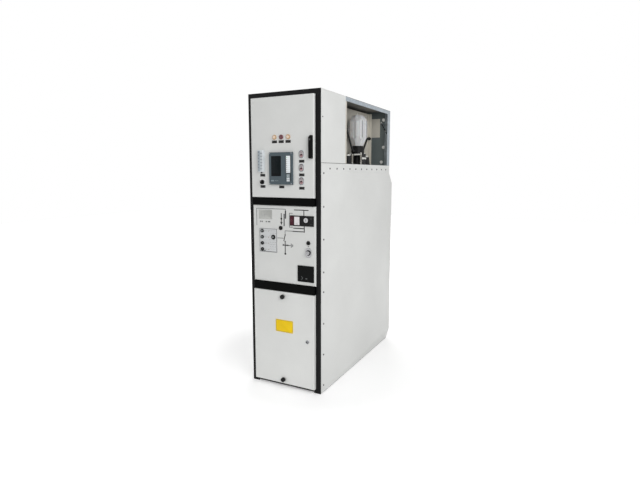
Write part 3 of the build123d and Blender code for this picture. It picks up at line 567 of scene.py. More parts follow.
def stroke(bm, matrix, start, end, width, rise=PRINT, look=0):
    """A printed line between two points."""
    run = Vector(end) - Vector(start)
    turn = Matrix.Rotation(atan2(run.y, run.x), 4, "Z")
    middle = (Vector(start) + Vector(end)) / 2
    outline = (run.length + width, width, width * STROKE_CORNER)
    rings = [rounded(*outline, w, steps=2) for w in (0, rise)]
    loft(bm, shift(matrix, middle.x, middle.y) @ turn, rings, look)


def drawn(name, draw):
    """A mesh made by a drawing function."""
    bm = bmesh.new()
    draw(bm)
    mesh = bpy.data.meshes.new(name)
    bm.to_mesh(mesh)
    bm.free()
    return mesh


def placed(name, data):
    """An object in the scene."""
    obj = bpy.data.objects.new(name, data)
    bpy.context.scene.collection.objects.link(obj)
    return obj


def make_piece(name, body, looks, draw):
    """Makes one object from a drawing function, and hangs it on its body."""
    mesh = drawn(name, draw)
    for look in looks:
        mesh.materials.append(finish[look])
    mesh.set_sharp_from_angle(angle=radians(SHARP_ANGLE))
    obj = placed(name, mesh)
    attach(obj, body)


def piece(slot, *looks, body="cabinet"):
    """Makes the piece that the function below it draws, under that function's name."""
    def make(draw):
        make_piece(draw.__name__, body, looks, draw)
        return draw
    return make


# Fasteners of the covers, each turned by its place so that the sockets don't line up

COVER_SCREW = {"radius": 5.5, "rise": 4}
WALL_SCREW = {"radius": 4, "rise": 3}
WALL_SCREW_Y, WALL_SCREW_Z = 28, 2003
SIDE_COLUMN = 41
SIDE_LEVELS = (57, 294, 529, 765, 911, 1149, 1383, 1618)
SIDE_ROW = 1650
SIDE_ROW_YS = [138 + step * 116 for step in range(11)]
SEAM_Y, SEAM_Z = 204.5, 1689.5
REAR_COLUMN = 268
REAR_LEVELS = [75 + step * 260 for step in range(7)]
REAR_ROW = (-134, 0, 134)
UPPER_COLUMN = 262
UPPER_LEVELS = (1740, 1937, 2134)
ROOF_COLUMN = 280
ROOF_EDGE = (30, 205, 380, 440, 760, 1080, 1375)
ROOF_MIDDLE = (30, 380, 440, 1375)


def side_screws(facing, side):
    """Screws along the front and the top of a side cover, and one in the wall above it."""
    def draw(bm):
        for z in SIDE_LEVELS:
            screw(bm, seat(facing, side * SIDE_FACE, SIDE_COLUMN, z, turn=z * 7), **COVER_SCREW)
        for y in SIDE_ROW_YS:
            screw(bm, seat(facing, side * SIDE_FACE, y, SIDE_ROW, turn=y * 5), **COVER_SCREW)
        wall = seat(facing, side * WALL_FACE, WALL_SCREW_Y, WALL_SCREW_Z, turn=WALL_SCREW_Y)
        screw(bm, wall, **WALL_SCREW)
    return draw


@piece("black_rubber", "black_rubber")
def side_seals_and_shadows(bm):
    """Dark rubber seal between each instrument wall and the side cover below it, whose black also paints the
    shadow line of the gap there.
    """
    for side, facing in SIDES:
        base = seat(facing, side * WALL_FACE, SEAM_Y, SEAM_Z)
        plate(bm, base, (397, 3), radius=1, rise=1.2, edge=0.4)


for name, (side, facing) in zip(("right", "left"), SIDES):
    make_piece("side_screws_" + name, "cabinet", ["dark_metal"], side_screws(facing, side))


@piece("chrome_metal", "screw_zinc")
def rear_screws(bm):
    """Screws round the lower and the upper rear cover."""
    for z in REAR_LEVELS:
        for x in (-REAR_COLUMN, REAR_COLUMN):
            screw(bm, seat(REAR, x, BACK_FACE, z, turn=z), **COVER_SCREW)
    for x in REAR_ROW:
        for z in (REAR_LEVELS[0], REAR_LEVELS[-1]):
            screw(bm, seat(REAR, x, BACK_FACE, z, turn=x), **COVER_SCREW)
    for x in (-UPPER_COLUMN, UPPER_COLUMN):
        for z in UPPER_LEVELS:
            screw(bm, seat(REAR, x, BACK_FACE, z, turn=z), **COVER_SCREW)


@piece("chrome_metal", "screw_zinc")
def roof_screws(bm):
    """Screws along both edges and the cross seams of the roof."""
    for x in (-ROOF_COLUMN, ROOF_COLUMN):
        for y in ROOF_EDGE:
            screw(bm, seat(UP, x, y, ROOF_FACE, turn=y), **COVER_SCREW)
    for y in ROOF_MIDDLE:
        screw(bm, seat(UP, 0, y, ROOF_FACE, turn=y), **COVER_SCREW)


# Busbar bay

UNIT_X = 215
UNIT_Y = 839.8
STAND_TOP = 1780
UNIT_BOTTOM = 1845
BUSHING_PITCH = 195
BUSHING_TOP = 1758
POST_BOLTS = ((238, 2112), (241, 1860), (222, 1722))
POST_Y = 1393
STRUT_BOLTS = ((218, 2086), (262, 2008))
STRUT_Y = 1384
STRAP_Y = 1385
STRAP_TOP, STRAP_FOOT = (217, 2092), (290, 1956)
TABLE_BOLT_U, TABLE_BOLT_V = 46, 36
TABLE_FLANK, FLANK_BOLT_Z = 56, 1742
BAY_PLATE_X = 120
BAY_PLATE_YS, BAY_PLATE_ZS = (440, 640, 1040, 1240), (1715, 2135)
CLAMP_DROP = 13
LUG_U = 50
FLANGE_X, FLANGE_Y, FLANGE_Z = 295.5, 418, 1923.5
STRIP_REACH, STRIP_Z = 45, 1734
BAR_DROP = 7
RIB_TURNS = (-55, -40, -25, -10, 10, 25, 40, 55)
BOOT_RINGS = ((24, 0), (28, 2), (25, 4), (28, 6), (25, 8))


@piece("chrome_metal", "bolt_bright")
def bay_bolts(bm):
    """Bolts of the rear posts, struts, tables, bushings and upright plates."""
    for side, facing in SIDES:
        for x, z in POST_BOLTS:
            bolt(bm, seat(FRONT, side * x, POST_Y, z, turn=z), radius=11, rise=10)
        for x, z in STRUT_BOLTS:
            bolt(bm, seat(FRONT, side * x, STRUT_Y, z, turn=z), radius=4, rise=5)
        for u in (-TABLE_BOLT_U, TABLE_BOLT_U):
            for v in (-TABLE_BOLT_V, TABLE_BOLT_V):
                base = seat(UP, side * UNIT_X + u, UNIT_Y + v, STAND_TOP, turn=u)
                bolt(bm, base, radius=6, rise=8)
        for v in (-BUSHING_PITCH, BUSHING_PITCH):
            bolt(bm, seat(UP, side * UNIT_X, UNIT_Y + v, BUSHING_TOP, turn=v), radius=11, rise=12)
        for v in (-30, 0, 30):
            base = seat(facing, side * (UNIT_X + TABLE_FLANK), UNIT_Y + v, FLANK_BOLT_Z, turn=v)
            bolt(bm, base, radius=7, rise=8)
        for y in BAY_PLATE_YS:
            for z in BAY_PLATE_ZS:
                bolt(bm, seat(facing, side * BAY_PLATE_X, y, z, turn=y), radius=6, rise=7)


@piece("black_plastic", "black_plastic")
def clamp_straps(bm):
    """Clamp round the neck of each plug, with its rounded edges, two lugs and their screws."""
    for side, _ in SIDES:
        base = seat(UP, side * UNIT_X, UNIT_Y, UNIT_BOTTOM - CLAMP_DROP)
        collar(bm, base, outer=47.5, inner=44.2, rise=11, count=48)
        for turn in (60, 240):
            lug = spin(base, turn * side)
            plate(bm, shift(lug, LUG_U, 0, 1), (9, 14), radius=2, rise=9, edge=1)
            bolt(bm, shift(lug, LUG_U, 0, 10), radius=3.2, rise=3)


@piece("beige_plate", "beige_plate")
def wall_flanges(bm):
    """Folded edge of the wall between the instrument space and the bay."""
    for side, facing in SIDES:
        base = seat(facing, side * FLANGE_X, FLANGE_Y, FLANGE_Z)
        plate(bm, base, (26, 465), radius=1.5, rise=2.5, edge=0.7)


@piece("galvanised", "stand_zinc", "bolt_bright")
def stand_strips(bm):
    """Earthing strips from each stand's table to the tank, front and back, and the bar that joins them."""
    for side, _ in SIDES:
        for facing, reach in ((FRONT, -STRIP_REACH), (REAR, STRIP_REACH)):
            y = UNIT_Y + reach
            for u in (-28, 49):
                strip = seat(facing, side * (UNIT_X + u), y, STRIP_Z)
                plate(bm, strip, (12, 90), radius=2, rise=2.5, edge=0.6)
                for v in (-30, 39):
                    bolt(bm, shift(strip, 0, v, 2.5), radius=4, rise=4, look=1)
            bar = seat(facing, side * (UNIT_X + 12), y, STAND_TOP - BAR_DROP)
            plate(bm, bar, (56, 12), radius=2, rise=3, edge=0.8, look=1)
            for u in (-18, 0, 18):
                bolt(bm, shift(bar, u, 0, 3), radius=4.5, rise=4, look=1)
            end = seat(facing, side * (UNIT_X - 49), y, STAND_TOP - BAR_DROP)
            bolt(bm, end, radius=5.5, rise=7, look=1)


@piece("black_rubber", "black_rubber")
def plug_ribs(bm):
    """Ribs round the body of each plug, between its two flats, and the bellows under its table."""
    for side, _ in SIDES:
        base = seat(UP, side * UNIT_X, UNIT_Y, STAND_TOP)
        for half in (0, 180):
            for turn in RIB_TURNS:
                rib = spin(base, half + turn) @ RIGHT.to_4x4()
                plate(bm, shift(rib, 0, 23, 51.5), (4, 44), radius=1.5, rise=2.6, edge=0.8)
        boot = seat(UP, side * UNIT_X, UNIT_Y, BUSHING_TOP)
        loft(bm, boot, [circle(radius, w) for radius, w in BOOT_RINGS], cap=False)


@piece("black_plastic", "black_plastic")
def brace_straps(bm):
    """Black strap along each sloping brace at the back of the bay."""
    base = seat(FRONT, 0, STRAP_Y, 0)
    for side, _ in SIDES:
        top, foot = ((side * x, z) for x, z in (STRAP_TOP, STRAP_FOOT))
        stroke(bm, base, top, foot, width=8, rise=1.0)


# Lower cover

YELLOW_PLACE = (8, COVER_FACE, 486)
YELLOW_T = 1.2
COVER_LOCK_X, COVER_LOCK_Z = 204.9, 394.3
COVER_LOCK_FACE = COVER_FACE - 8


@piece("white_plastic", "plate_yellow", "print_dark", "screw_zinc")
def yellow_plate(bm):
    """Bare yellow plate with a dark border, on four rivets."""
    base = seat(FRONT, *YELLOW_PLACE)
    plate(bm, base, (151, 95), radius=5, rise=YELLOW_T, edge=0.4)
    face = shift(base, 0, 0, YELLOW_T)
    frame_plate(bm, face, (143, 87), radius=4, rim=1.6, rise=PRINT, look=1)
    for u in (-68, 68):
        for v in (-40, 40):
            dome(bm, shift(base, u, v, YELLOW_T), radius=2.2, rise=1.2, look=2)


@piece("chrome_metal", "screw_zinc", "label_black")
def cover_lock_face(bm):
    """Ring round the quarter-turn lock, and its plated face with a black plate across it that paints the
    shade of its slot.
    """
    collar(bm, seat(FRONT, COVER_LOCK_X, COVER_FACE, COVER_LOCK_Z), outer=14, inner=11.2, rise=3.5)
    face = seat(FRONT, COVER_LOCK_X, COVER_LOCK_FACE, COVER_LOCK_Z, turn=-45)
    loft(bm, face, [circle(10.6, 0), circle(10.6, 0.5), circle(10, 0.9)])
    # Black plate that paints the shade of the slot
    plate(bm, shift(face, 0, 0, 0.9), (19, 8.5), radius=3, rise=1.6, edge=0.5, look=1)


# Middle panel: plates, mimic lines, sockets and controls

NAME_PLACE = (-157, PANEL_FACE, 1316)
ENGRAVED = 0.15
MIMIC_DARK_W, MIMIC_GREY_W, MIMIC_ARROW_W = 6.5, 4.5, 4
MIMIC_DARK = (
    ((93, 1357), (206, 1357)), ((171, 1357), (171, 1318)), ((86, 1225), (174, 1225)),
    ((174, 1242), (174, 1202)), ((80, 1202), (174, 1202)), ((13, 1170), (2, 1128)),
    ((13, 1124), (13, 1034)), ((-4, 1096), (44, 1096)), ((-18, 1249), (-18, 1327)),
)
MIMIC_GREY = (
    ((-235, 1359), (18, 1359)), ((-235, 1359), (-235, 1232)), ((-52, 1146), (-2, 1146)),
    ((48, 1096), (60, 1096)), ((64, 1110), (64, 1082)), ((71, 1106), (71, 1086)),
    ((78, 1102), (78, 1090)), ((51, 1332), (51, 1230)), ((51, 1332), (76, 1332)),
    ((51, 1230), (76, 1230)), ((13, 1202), (76, 1202)), ((13, 1202), (13, 1176)), ((18, 1359), (18, 1349)),
)
MIMIC_ARROW = (((-26, 1264), (-18, 1249)), ((-10, 1264), (-18, 1249)))
MIMIC_DOTS = (
    (13, 1032, 8), (13, 1172, 5), (13, 1124, 5), (-18, 1289, 8), (-4, 1096, 6), (174, 1202, 5), (30, 1096, 6),
)
FIELD_XS, FIELD_Z = (-200, -186, -150, -132, -120), 1262
DETECTOR_PLACE = (-132.5, DETECTOR_FACE, 1123.8)
DRIVE_SOCKETS = ((207.8, 1123.8), (-23, 1220.8))
OPEN_SOCKETS = ((-184, 1100.9), (-184, 1054.8))
WIDE_SOCKET = (-86.9, 1149.8)
CAPPED_SOCKETS = ((-184, 1192.9), (-184, 1146.8), WIDE_SOCKET)
CAP_RINGS = ((6.8, 0), (6.8, 5.4), (6.2, 6), (3, 6), (2.6, 4.6))
SHAFT_RINGS = ((6, 0), (6, 5), (5.2, 6))
PUSH_FACE = BREAKER_FACE - 3
STATUS_PLACE = (116, BREAKER_FACE, 1280)
MODE_PLACE = (232, BREAKER_FACE, 1280)
TRIP_PLACE = (75, PUSH_FACE, 1280)
CLOSE_X, CLOSE_Z = 190, 1285.9
WINDOW_PLACE = (185.5, PANEL_FACE - 4, 897.5)
LOCK_X, LOCK_Z = 207.76, 1053.8


@piece("chrome_metal", "plate_metal", "print_grey", "screw_zinc")
def name_plate(bm):
    """Bare anodised plate with blank engraved rows."""
    base = seat(FRONT, *NAME_PLACE)
    plate(bm, base, (116, 70), radius=2, rise=1.0, edge=0.3)
    face = shift(base, 0, 0, 1.0)
    for v in (20, 9, -2, -13):
        stroke(bm, face, (-50, v), (50, v), width=0.7, rise=ENGRAVED, look=1)
    stroke(bm, face, (-8, 26), (-8, -24), width=0.7, rise=ENGRAVED + LAYER, look=1)
    for u in (-54, 54):
        for v in (-31, 31):
            dome(bm, shift(face, u, v), radius=1.8, rise=1.0, look=2)


@piece("black_plastic", "print_black", "print_grey", "print_dark")
def mimic_lines(bm):
    """Printed one-line diagram, each line a hair above the one before, so that crossings stay clean."""
    base = seat(FRONT, 0, PANEL_FACE, 0)
    lines = [(line, MIMIC_GREY_W, 1) for line in MIMIC_GREY]
    lines += [(line, MIMIC_ARROW_W, 0) for line in MIMIC_ARROW]
    lines += [(line, MIMIC_DARK_W, 0) for line in MIMIC_DARK]
    for index, ((start, end), width, look) in enumerate(lines):
        stroke(bm, base, start, end, width, PRINT + index * LAYER, look)
    for x, z, radius in MIMIC_DOTS:
        dome(bm, shift(base, x, z), radius, rise=1.0)
    plate(bm, shift(base, 18, 1320), (10, 58), radius=1.5, rise=1.0, edge=0.3, look=2)
    plate(bm, shift(base, 6, 1280.5), (10, 89), radius=1.5, rise=1.0, edge=0.3, look=1)
    for x in FIELD_XS:
        plate(bm, shift(base, x, FIELD_Z), (9, 9), radius=1, rise=PRINT, edge=0.05, look=2)


@piece("black_plastic", "print_dark", "print_grey", "led_off")
def detector_print(bm):
    """Border, lamp dots and blank fields of the voltage detector."""
    middle = seat(FRONT, *DETECTOR_PLACE)
    frame_plate(bm, middle, (151, 174), radius=3, rim=3, rise=PRINT, look=1)
    for v in (69, 23, -23, -69):
        stroke(bm, middle, (-34, v), (-8, v), width=1.6, look=1)
        dome(bm, shift(middle, 4, v), radius=3, rise=2, look=2)
    for row in range(9):
        v = 72 - row * 17
        for column in range(4):
            u = 14 + column * 14 + 5 * (row % 2)
            stroke(bm, middle, (u, v), (u + 5, v), width=1.8, look=1)
    stroke(bm, middle, (74, -84), (74, 84), width=3.5, rise=PRINT + LAYER)
    stroke(bm, middle, (-72, -85), (74, -85), width=3.5, rise=PRINT + 2 * LAYER)
    stroke(bm, middle, (-60, -79), (-26, -79), width=5, rise=PRINT + 3 * LAYER)


@piece("chrome_metal", "cap_grey", "black_plastic")
def socket_parts(bm):
    """Sleeves and pale caps in the test sockets, and hexagon shafts in the drive sockets."""
    for x, z in OPEN_SOCKETS:
        collar(bm, seat(FRONT, x, DETECTOR_FACE, z), outer=6.9, inner=4, rise=5, look=1, count=24)
    for x, z in CAPPED_SOCKETS:
        loft(bm, seat(FRONT, x, DETECTOR_FACE, z), [circle(*ring) for ring in CAP_RINGS])
    for x, z in DRIVE_SOCKETS:
        base = seat(FRONT, x, PANEL_FACE + 2, z, turn=10)
        loft(bm, base, [hexagon(*ring) for ring in SHAFT_RINGS], look=1)
    x, z = WIDE_SOCKET
    collar(bm, seat(FRONT, x, DETECTOR_FACE, z), outer=18, inner=13.3, rise=2, look=1)


@piece("black_plastic", "black_plastic", "print_grey")
def breaker_trim(bm):
    """Marks and rims on the breaker's control block."""
    window = seat(FRONT, *STATUS_PLACE)
    frame_plate(bm, window, (47, 63), radius=1.5, rim=1.8, rise=0.8)
    for step in range(4):
        u = -10 + step * 5
        stroke(bm, window, (u, -20), (u + 5, -14 if step % 2 else -26), width=1.2, look=1)
    collar(bm, seat(FRONT, CLOSE_X, BREAKER_FACE, CLOSE_Z), outer=21, inner=18.2, rise=2)
    for v in (-22, 14, 22):
        stroke(bm, seat(FRONT, *MODE_PLACE), (-8, v), (8, v), width=1.2, look=1)


@piece("button_red", "trip_mark", body="trip")
def trip_mark(bm):
    """Ring on the face of the trip button."""
    collar(bm, seat(FRONT, *TRIP_PLACE), outer=7.5, inner=5.6, rise=0.4, count=28)


@piece("black_plastic", "print_dark", body="close")
def close_mark(bm):
    """Bar on the face of the close button."""
    base = seat(FRONT, CLOSE_X, PUSH_FACE, CLOSE_Z)
    plate(bm, base, (2.6, 15), radius=0.8, rise=0.4, edge=0.1)


@piece("button_grey", "print_grey")
def window_marks(bm):
    """Latch and finger ribs low on the viewing window's pane."""
    base = seat(FRONT, *WINDOW_PLACE)
    stroke(bm, base, (-36, -20), (-22, -32), width=2.2, rise=0.8)
    stroke(bm, base, (-36, -44), (-22, -32), width=2.2, rise=0.8 + LAYER)
    plate(bm, shift(base, 6, -34), (14, 5), radius=1.5, rise=0.8, edge=0.2)


@piece("chrome_metal", "lock_metal", "label_black", "black_plastic")
def lock_trim(bm):
    """Rims of the key lock's barrel and flange, and the small plate above the lock."""
    collar(bm, seat(FRONT, LOCK_X, PANEL_FACE - 21, LOCK_Z), outer=11.5, inner=9.6, rise=0.8)
    flange = seat(FRONT, LOCK_X, PANEL_FACE - 5, LOCK_Z)
    collar(bm, flange, outer=20, inner=15.2, rise=2.4, look=2, count=40)
    label = seat(FRONT, LOCK_X, PANEL_FACE, 1099)
    plate(bm, label, (10, 5), radius=1, rise=0.8, edge=0.2, look=1)


# Instrument door

LABELS = (
    (-57, 1839), (0, 1839), (57, 1839), (0, 1520), (166, 1700), (166, 1606), (166, 1513),
    (-162, 1603), (-162, 1521),
)
LABEL_T = 1.5
LAMP_X, LAMP_Z = 57, 1871.1
RELAY_FOOT = 1537
RELAY_RECESS = -45
RELAY_FACE = -48
RELAY_LOOKS = (
    "screen_glass", "screen_picture", "label_strip", "key_pale", "led_green", "led_off", "screw_zinc",
    "relay_grey", "key_dim",
)
GLASS, PICTURE, PAPER, KEY, LED_ON, LED_OFF, SCREW, CASE, DIM = range(len(RELAY_LOOKS))
STRIP_T = 3.6
KEY_PITCH_U, KEY_PITCH_V = 8.6, 13.2
BUTTON_X = 163.8
BUTTON_LEVELS = (1562.3, 1655.3, 1748.3)
BUTTON_FACE = DOOR_FACE - 4
BUTTON_LENS_V = 15.5
CAP_FACE = DOOR_FACE - 5
CAP_DROP = 8
HALF_STEPS = 16
HALF_RINGS = ((9.5, 0), (9.5, 0.7), (9.0, 1.0))
ROUND_STEPS = 14
BACKING_RINGS = ((40, 56, 6, 0), (40, 56, 6, 0.6), (39.2, 55.2, 5.6, 1), (34, 50, 15, 1), (34, 50, 15, 0))
TEST_PLACE = (-167.44, -52, 1705)
TEST_H = 155
TEST_ROWS = 6
DIAL_PLACE = (-164.32, DOOR_FACE - 3, 1553.76)
KNOB_PLACE = (-164.32, -53.3, 1553.76)
LEVER_PLACE = (241.02, -53, 1846.4)
GASKET_PLACE = (0, -5, 1798)
GASKET_W, GASKET_H = 506, 696
# Narrowing, corner radius and height of each ring of the seal
GASKET_RINGS = ((0, 8, 0), (0, 8, 1.6), (4, 7, 2.6), (10, 5, 2.6), (14, 4, 1.6), (14, 4, 0))


@piece("black_plastic", "label_black", "screw_zinc", body="door")
def label_plates(bm):
    """Bare black label plates on two pins each."""
    for x, z in LABELS:
        base = seat(FRONT, x, DOOR_FACE, z)
        plate(bm, base, (43, 19), radius=1.5, rise=LABEL_T, edge=0.5)
        for u in (-18.5, 18.5):
            dome(bm, shift(base, u, 0, LABEL_T), radius=1.4, rise=0.7, look=1, count=12)


@piece("amber_lens", "amber_rim", "red_rim", body="door")
def lamp_rims(bm):
    """Turned rim round each signal lamp, the middle one red."""
    for x, look in ((-LAMP_X, 0), (0, 1), (LAMP_X, 0)):
        rim = seat(FRONT, x, DOOR_FACE, LAMP_Z)
        collar(bm, rim, outer=17, inner=13.4, rise=5.8, look=look, count=40)


@piece("amber_lens", "amber_core", body="door")
def lamp_highlights(bm):
    """Pale middle of the two amber lenses, a painted highlight that stands in for the reflection in each
    lens.
    """
    for x in (-LAMP_X, LAMP_X):
        dome(bm, seat(FRONT, x, DOOR_FACE - 10, LAMP_Z), radius=8, rise=1.6, count=24)


@piece("window_black", *RELAY_LOOKS, body="door")
def relay_front(bm):
    """Screen, lamp strip, keys and port cover of the relay."""
    screen = seat(FRONT, -35, RELAY_RECESS, RELAY_FOOT + 130.5)
    plate(bm, shift(screen, -44.5, 0), (8, 142), radius=1, rise=3, edge=0.2, look=CASE)
    plate(bm, shift(screen, 0, 0, 3), (82, 141), radius=1.5, rise=0.8, edge=0.3, look=GLASS)
    picture = shift(screen, 0, 6, 3.8)
    plate(bm, picture, (70, 112), radius=1, rise=0.2, edge=0.05, look=PICTURE)
    strip = seat(FRONT, 65.6, RELAY_RECESS, RELAY_FOOT + 141.9)
    plate(bm, strip, (34.2, 119), radius=1, rise=STRIP_T, edge=0.3, look=PAPER)
    for row in range(8):
        v = 49 - row * 14
        lamp = LED_OFF if row else LED_ON
        dome(bm, shift(strip, -11, v, STRIP_T), radius=2.4, rise=1.2, look=lamp, count=14)
        stroke(bm, shift(strip, 0, 0, STRIP_T), (-4, v), (13, v), width=0.9, rise=0.12, look=KEY)
    keys = seat(FRONT, 64.6, RELAY_RECESS, RELAY_FOOT + 47.3)
    for row in range(4):
        look = PAPER if row > 1 else KEY
        for column in (-1, 0, 1):
            key = shift(keys, column * KEY_PITCH_U, 20 - row * KEY_PITCH_V)
            plate(bm, key, (7.2, 10.2), radius=2, rise=3.6, edge=0.9, look=look)
    face = seat(FRONT, 0, RELAY_FACE, RELAY_FOOT)
    plate(bm, shift(face, -66, 27), (26, 9), radius=3, rise=1.4, edge=0.5, look=DIM)
    for u in (-42, -32, -22):
        dome(bm, shift(face, u, 27), radius=3, rise=1.2, look=DIM, count=16)
    for u in (-90, 90):
        for v in (8, 220):
            screw(bm, shift(face, u, v), radius=2.6, rise=1.6, look=SCREW)


@piece("relay_grey", "groove_dark", body="door")
def relay_groove_shade(bm):
    """Dark plates beside and below the lamp strip that paint the shade of the joint lines there."""
    plate(bm, seat(FRONT, 45.5, RELAY_RECESS, 1678.9), (5.4, 119), radius=1, rise=2.5, edge=0.3)
    plate(bm, seat(FRONT, 87.6, RELAY_FACE, 1650), (8.4, 178), radius=1.5, rise=0.5, edge=0.15)
    plate(bm, seat(FRONT, 63, RELAY_FACE, 1614.5), (36, 5), radius=1, rise=0.5, edge=0.15)


@piece("red_lens", "lens_pale", "button_rim", body="door")
def button_lenses(bm):
    """Small lamp with its rim above each push-button's cap."""
    for level in BUTTON_LEVELS:
        base = seat(FRONT, BUTTON_X, BUTTON_FACE, level + BUTTON_LENS_V)
        dome(bm, base, radius=6, rise=2.5, count=24)
        collar(bm, base, outer=8.4, inner=6.2, rise=1.6, look=1)


def button_dark_half(level):
    """Dark upper half on the face of a push-button's cap."""
    def draw(bm):
        rings = []
        for radius, w in HALF_RINGS:
            steps = [pi * i / HALF_STEPS for i in range(HALF_STEPS + 1)]
            rings.append([(radius * cos(a), radius * sin(a), w) for a in steps])
        loft(bm, seat(FRONT, BUTTON_X, CAP_FACE, level - CAP_DROP), rings)
    return draw


for level, place in zip(BUTTON_LEVELS, ("lower", "middle", "upper")):
    make_piece("button_dark_half_" + place, "button_" + place, ["mark_maroon"], button_dark_half(level))


@piece("button_grey", "test_grey", body="door")
def button_plates(bm):
    """Thin backing plate round the collar of each push-button."""
    for level in BUTTON_LEVELS:
        rings = [rounded(*ring, steps=ROUND_STEPS) for ring in BACKING_RINGS]
        loft(bm, seat(FRONT, BUTTON_X, DOOR_FACE, level), rings, cap=False)


@piece("button_grey", "button_rim", body="door")
def button_rims(bm):
    """Dark rim round each push-button plate."""
    for level in BUTTON_LEVELS:
        base = seat(FRONT, BUTTON_X, BUTTON_FACE, level)
        frame_plate(bm, base, (36, 52), radius=16, rim=2.6, rise=0.8, steps=ROUND_STEPS)


@piece("test_grey", "test_dark", "dark_metal", "black_plastic", body="door")
def test_parts(bm):
    """Terminal column, its screws and the latch at the foot of the test block."""
    base = seat(FRONT, *TEST_PLACE)
    plate(bm, shift(base, -10.5, 0), (20, 146), radius=2, rise=1.2, edge=0.4)
    for row in range(TEST_ROWS):
        v = -TEST_H / 2 + (row + 1) * TEST_H / (TEST_ROWS + 1)
        screw(bm, shift(base, -13, v + 8, 1.2), radius=2.8, rise=1.8, look=1)
        plate(bm, shift(base, 5, v, -10.5), (19, 3), radius=0.8, rise=10, edge=0.5)
    foot = seat(FRONT, -172, DOOR_FACE, 1621)
    plate(bm, foot, (12, 10), radius=1.5, rise=3, edge=0.8, look=2)


def ray(angle):
    """The direction at an angle in degrees."""
    return Vector((cos(radians(angle)), sin(radians(angle))))


@piece("black_plastic", "print_dark", "print_grey", body="door")
def selector_dial(bm):
    """Tick marks and a grey arc round the selector knob."""
    base = seat(FRONT, *DIAL_PLACE)
    for angle in (45, 90, 135):
        stroke(bm, base, ray(angle) * 17, ray(angle) * 19.2, width=1.1)
    points = [ray(-60 + 12 * step) * 19 for step in range(9)]
    for index, (start, end) in enumerate(zip(points, points[1:])):
        stroke(bm, base, start, end, width=2.4, rise=PRINT + index * LAYER, look=1)


@piece("white_plastic", "white_plastic", body="selector")
def selector_pointer(bm):
    """Pale line on the face of the selector knob."""
    stroke(bm, seat(FRONT, *KNOB_PLACE), (0, 5), (0, 13), width=1.8, rise=0.4)


@piece("black_plastic", "handle_black", "dark_metal", body="handle")
def handle_lock(bm):
    """Lock cylinder in the head of the lever, and its finger ribs."""
    base = seat(FRONT, *LEVER_PLACE)
    collar(bm, base, outer=8, inner=6.2, rise=1.2)
    loft(bm, base, [circle(6.2, 0), circle(6, 0.6), circle(5.6, 0.8)], look=1)
    plate(bm, shift(base, 0, 0, 0.8), (1.6, 7), radius=0.6, rise=0.15, edge=0.04)
    for row in range(7):
        plate(bm, shift(base, 0, -50 - row * 8), (13, 2.4), radius=1, rise=0.8, edge=0.3)


@piece("black_rubber", "black_rubber", body="door")
def door_gasket(bm):
    """Rubber seal on the inner lips of the door."""
    rings = [rounded(GASKET_W - slim, GASKET_H - slim, radius, w) for slim, radius, w in GASKET_RINGS]
    loft(bm, seat(REAR, *GASKET_PLACE), rings, cap=False)


# Studio, in metres

FLOOR_HALF = 14
# Distances from the panel between which the floor fades to white, and its glow there
FADE_REACH = (0.9, 2.6)
FADE_GLOW = (0.28, 1.0)
# The world's strength as light, and as the background that is seen
WORLD_LIGHT, WORLD_SEEN = 0.5, 1.0
WHITE = (1, 1, 1, 1)
CAMERA_LENS, CAMERA_SENSOR = 26.94, 36
CAMERA_PLACE = (1.8467, -3.6387, 1.6168)
CAMERA_DIP, CAMERA_YAW = 7.927, 27.639


def backdrop_rays(tree):
    """High for the rays that see the background: from the camera, off metal and through glass."""
    path = tree.nodes.new("ShaderNodeLightPath")
    seen = path.outputs["Is Camera Ray"]
    for kind in ("Is Glossy Ray", "Is Transmission Ray"):
        either = tree.nodes.new("ShaderNodeMath")
        either.operation = "MAXIMUM"
        tree.links.new(seen, either.inputs[0])
        tree.links.new(path.outputs[kind], either.inputs[1])
        seen = either.outputs["Value"]
    return seen


def floor_material():
    """Pale floor that turns white away from the panel for the camera and mirrors, and keeps the shadow."""
    s = Shader("floor")
    s.roughness(s.noise(30), 0.3, 0.7, 0.75, 0.9)
    s.colour(s.blend(s.noise(5), linear(236, 236, 236), linear(240, 240, 240)))
    s.set(Specular_IOR_Level=0.1, Emission_Color=WHITE)
    reach = s.add("VectorMath", operation="LENGTH")
    s.join(s.coords, reach.inputs[0])
    fade = s.remap(reach.outputs["Value"], *FADE_REACH, *FADE_GLOW)
    s.join(s.times(backdrop_rays(s.tree), fade), s.surface.inputs["Emission Strength"])
    return s.material


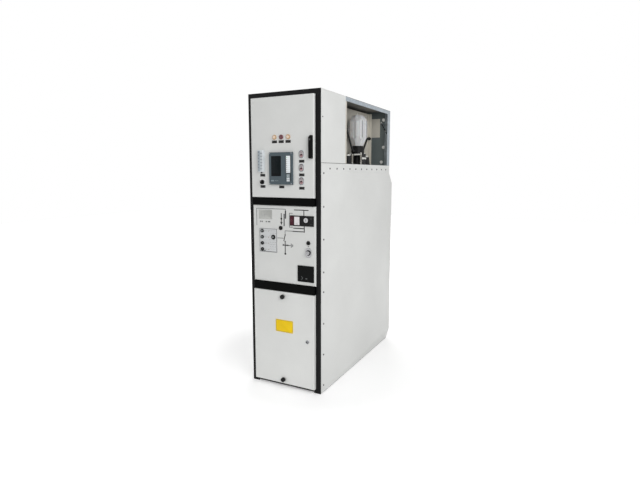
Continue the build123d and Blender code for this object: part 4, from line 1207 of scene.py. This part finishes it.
def studio_floor():
    """The ground that the panel stands on."""
    mesh = drawn("floor", lambda bm: bmesh.ops.create_grid(bm, x_segments=8, y_segments=8, size=FLOOR_HALF))
    mesh.materials.append(floor_material())
    floor = placed("floor", mesh)


def studio_world():
    """White to the camera, mirrors and glass; a softer grey as light."""
    world = bpy.data.worlds.new("studio")
    world.use_nodes = True
    bpy.context.scene.world = world
    tree = world.node_tree
    sky = tree.nodes["Background"]
    sky.inputs["Color"].default_value = WHITE
    level = tree.nodes.new("ShaderNodeMapRange")
    level.inputs["To Min"].default_value = WORLD_LIGHT
    level.inputs["To Max"].default_value = WORLD_SEEN
    tree.links.new(backdrop_rays(tree), level.inputs["Value"])
    tree.links.new(level.outputs["Result"], sky.inputs["Strength"])


def softbox(name, place, aim, size, power, spread=180):
    """A rectangular lamp that looks at a point."""
    data = bpy.data.lights.new(name, "AREA")
    data.spread = radians(spread)
    data.shape = "RECTANGLE"
    data.size, data.size_y = size
    data.energy = power
    lamp = placed(name, data)
    lamp.location = place
    lamp.rotation_euler = (Vector(aim) - Vector(place)).to_track_quat("-Z", "Y").to_euler()


def studio_camera():
    """The camera of the photograph."""
    data = bpy.data.cameras.new("camera")
    data.lens = CAMERA_LENS
    data.sensor_width = CAMERA_SENSOR
    camera = placed("camera", data)
    camera.location = CAMERA_PLACE
    camera.rotation_euler = (radians(90 - CAMERA_DIP), 0, radians(CAMERA_YAW))
    bpy.context.scene.camera = camera


studio_floor()
studio_world()
studio_camera()
softbox("key", place=(4.3, -3.3, 3.2), aim=(0, 0, 1.1), size=(3.0, 3.0), power=158)
softbox("fill", place=(-3.2, -3.4, 2.4), aim=(0, -0.4, 1.1), size=(2.4, 2.4), power=13)
softbox("low", place=(-0.7, -2.9, 0.3), aim=(0, -0.7, -0.35), size=(1.2, 0.5), power=1.4, spread=60)
softbox("back", place=(-2.0, 4.2, 3.4), aim=(0, 0.4, 1.2), size=(2.6, 2.6), power=90)
bpy.context.scene.view_settings.view_transform = "Standard"
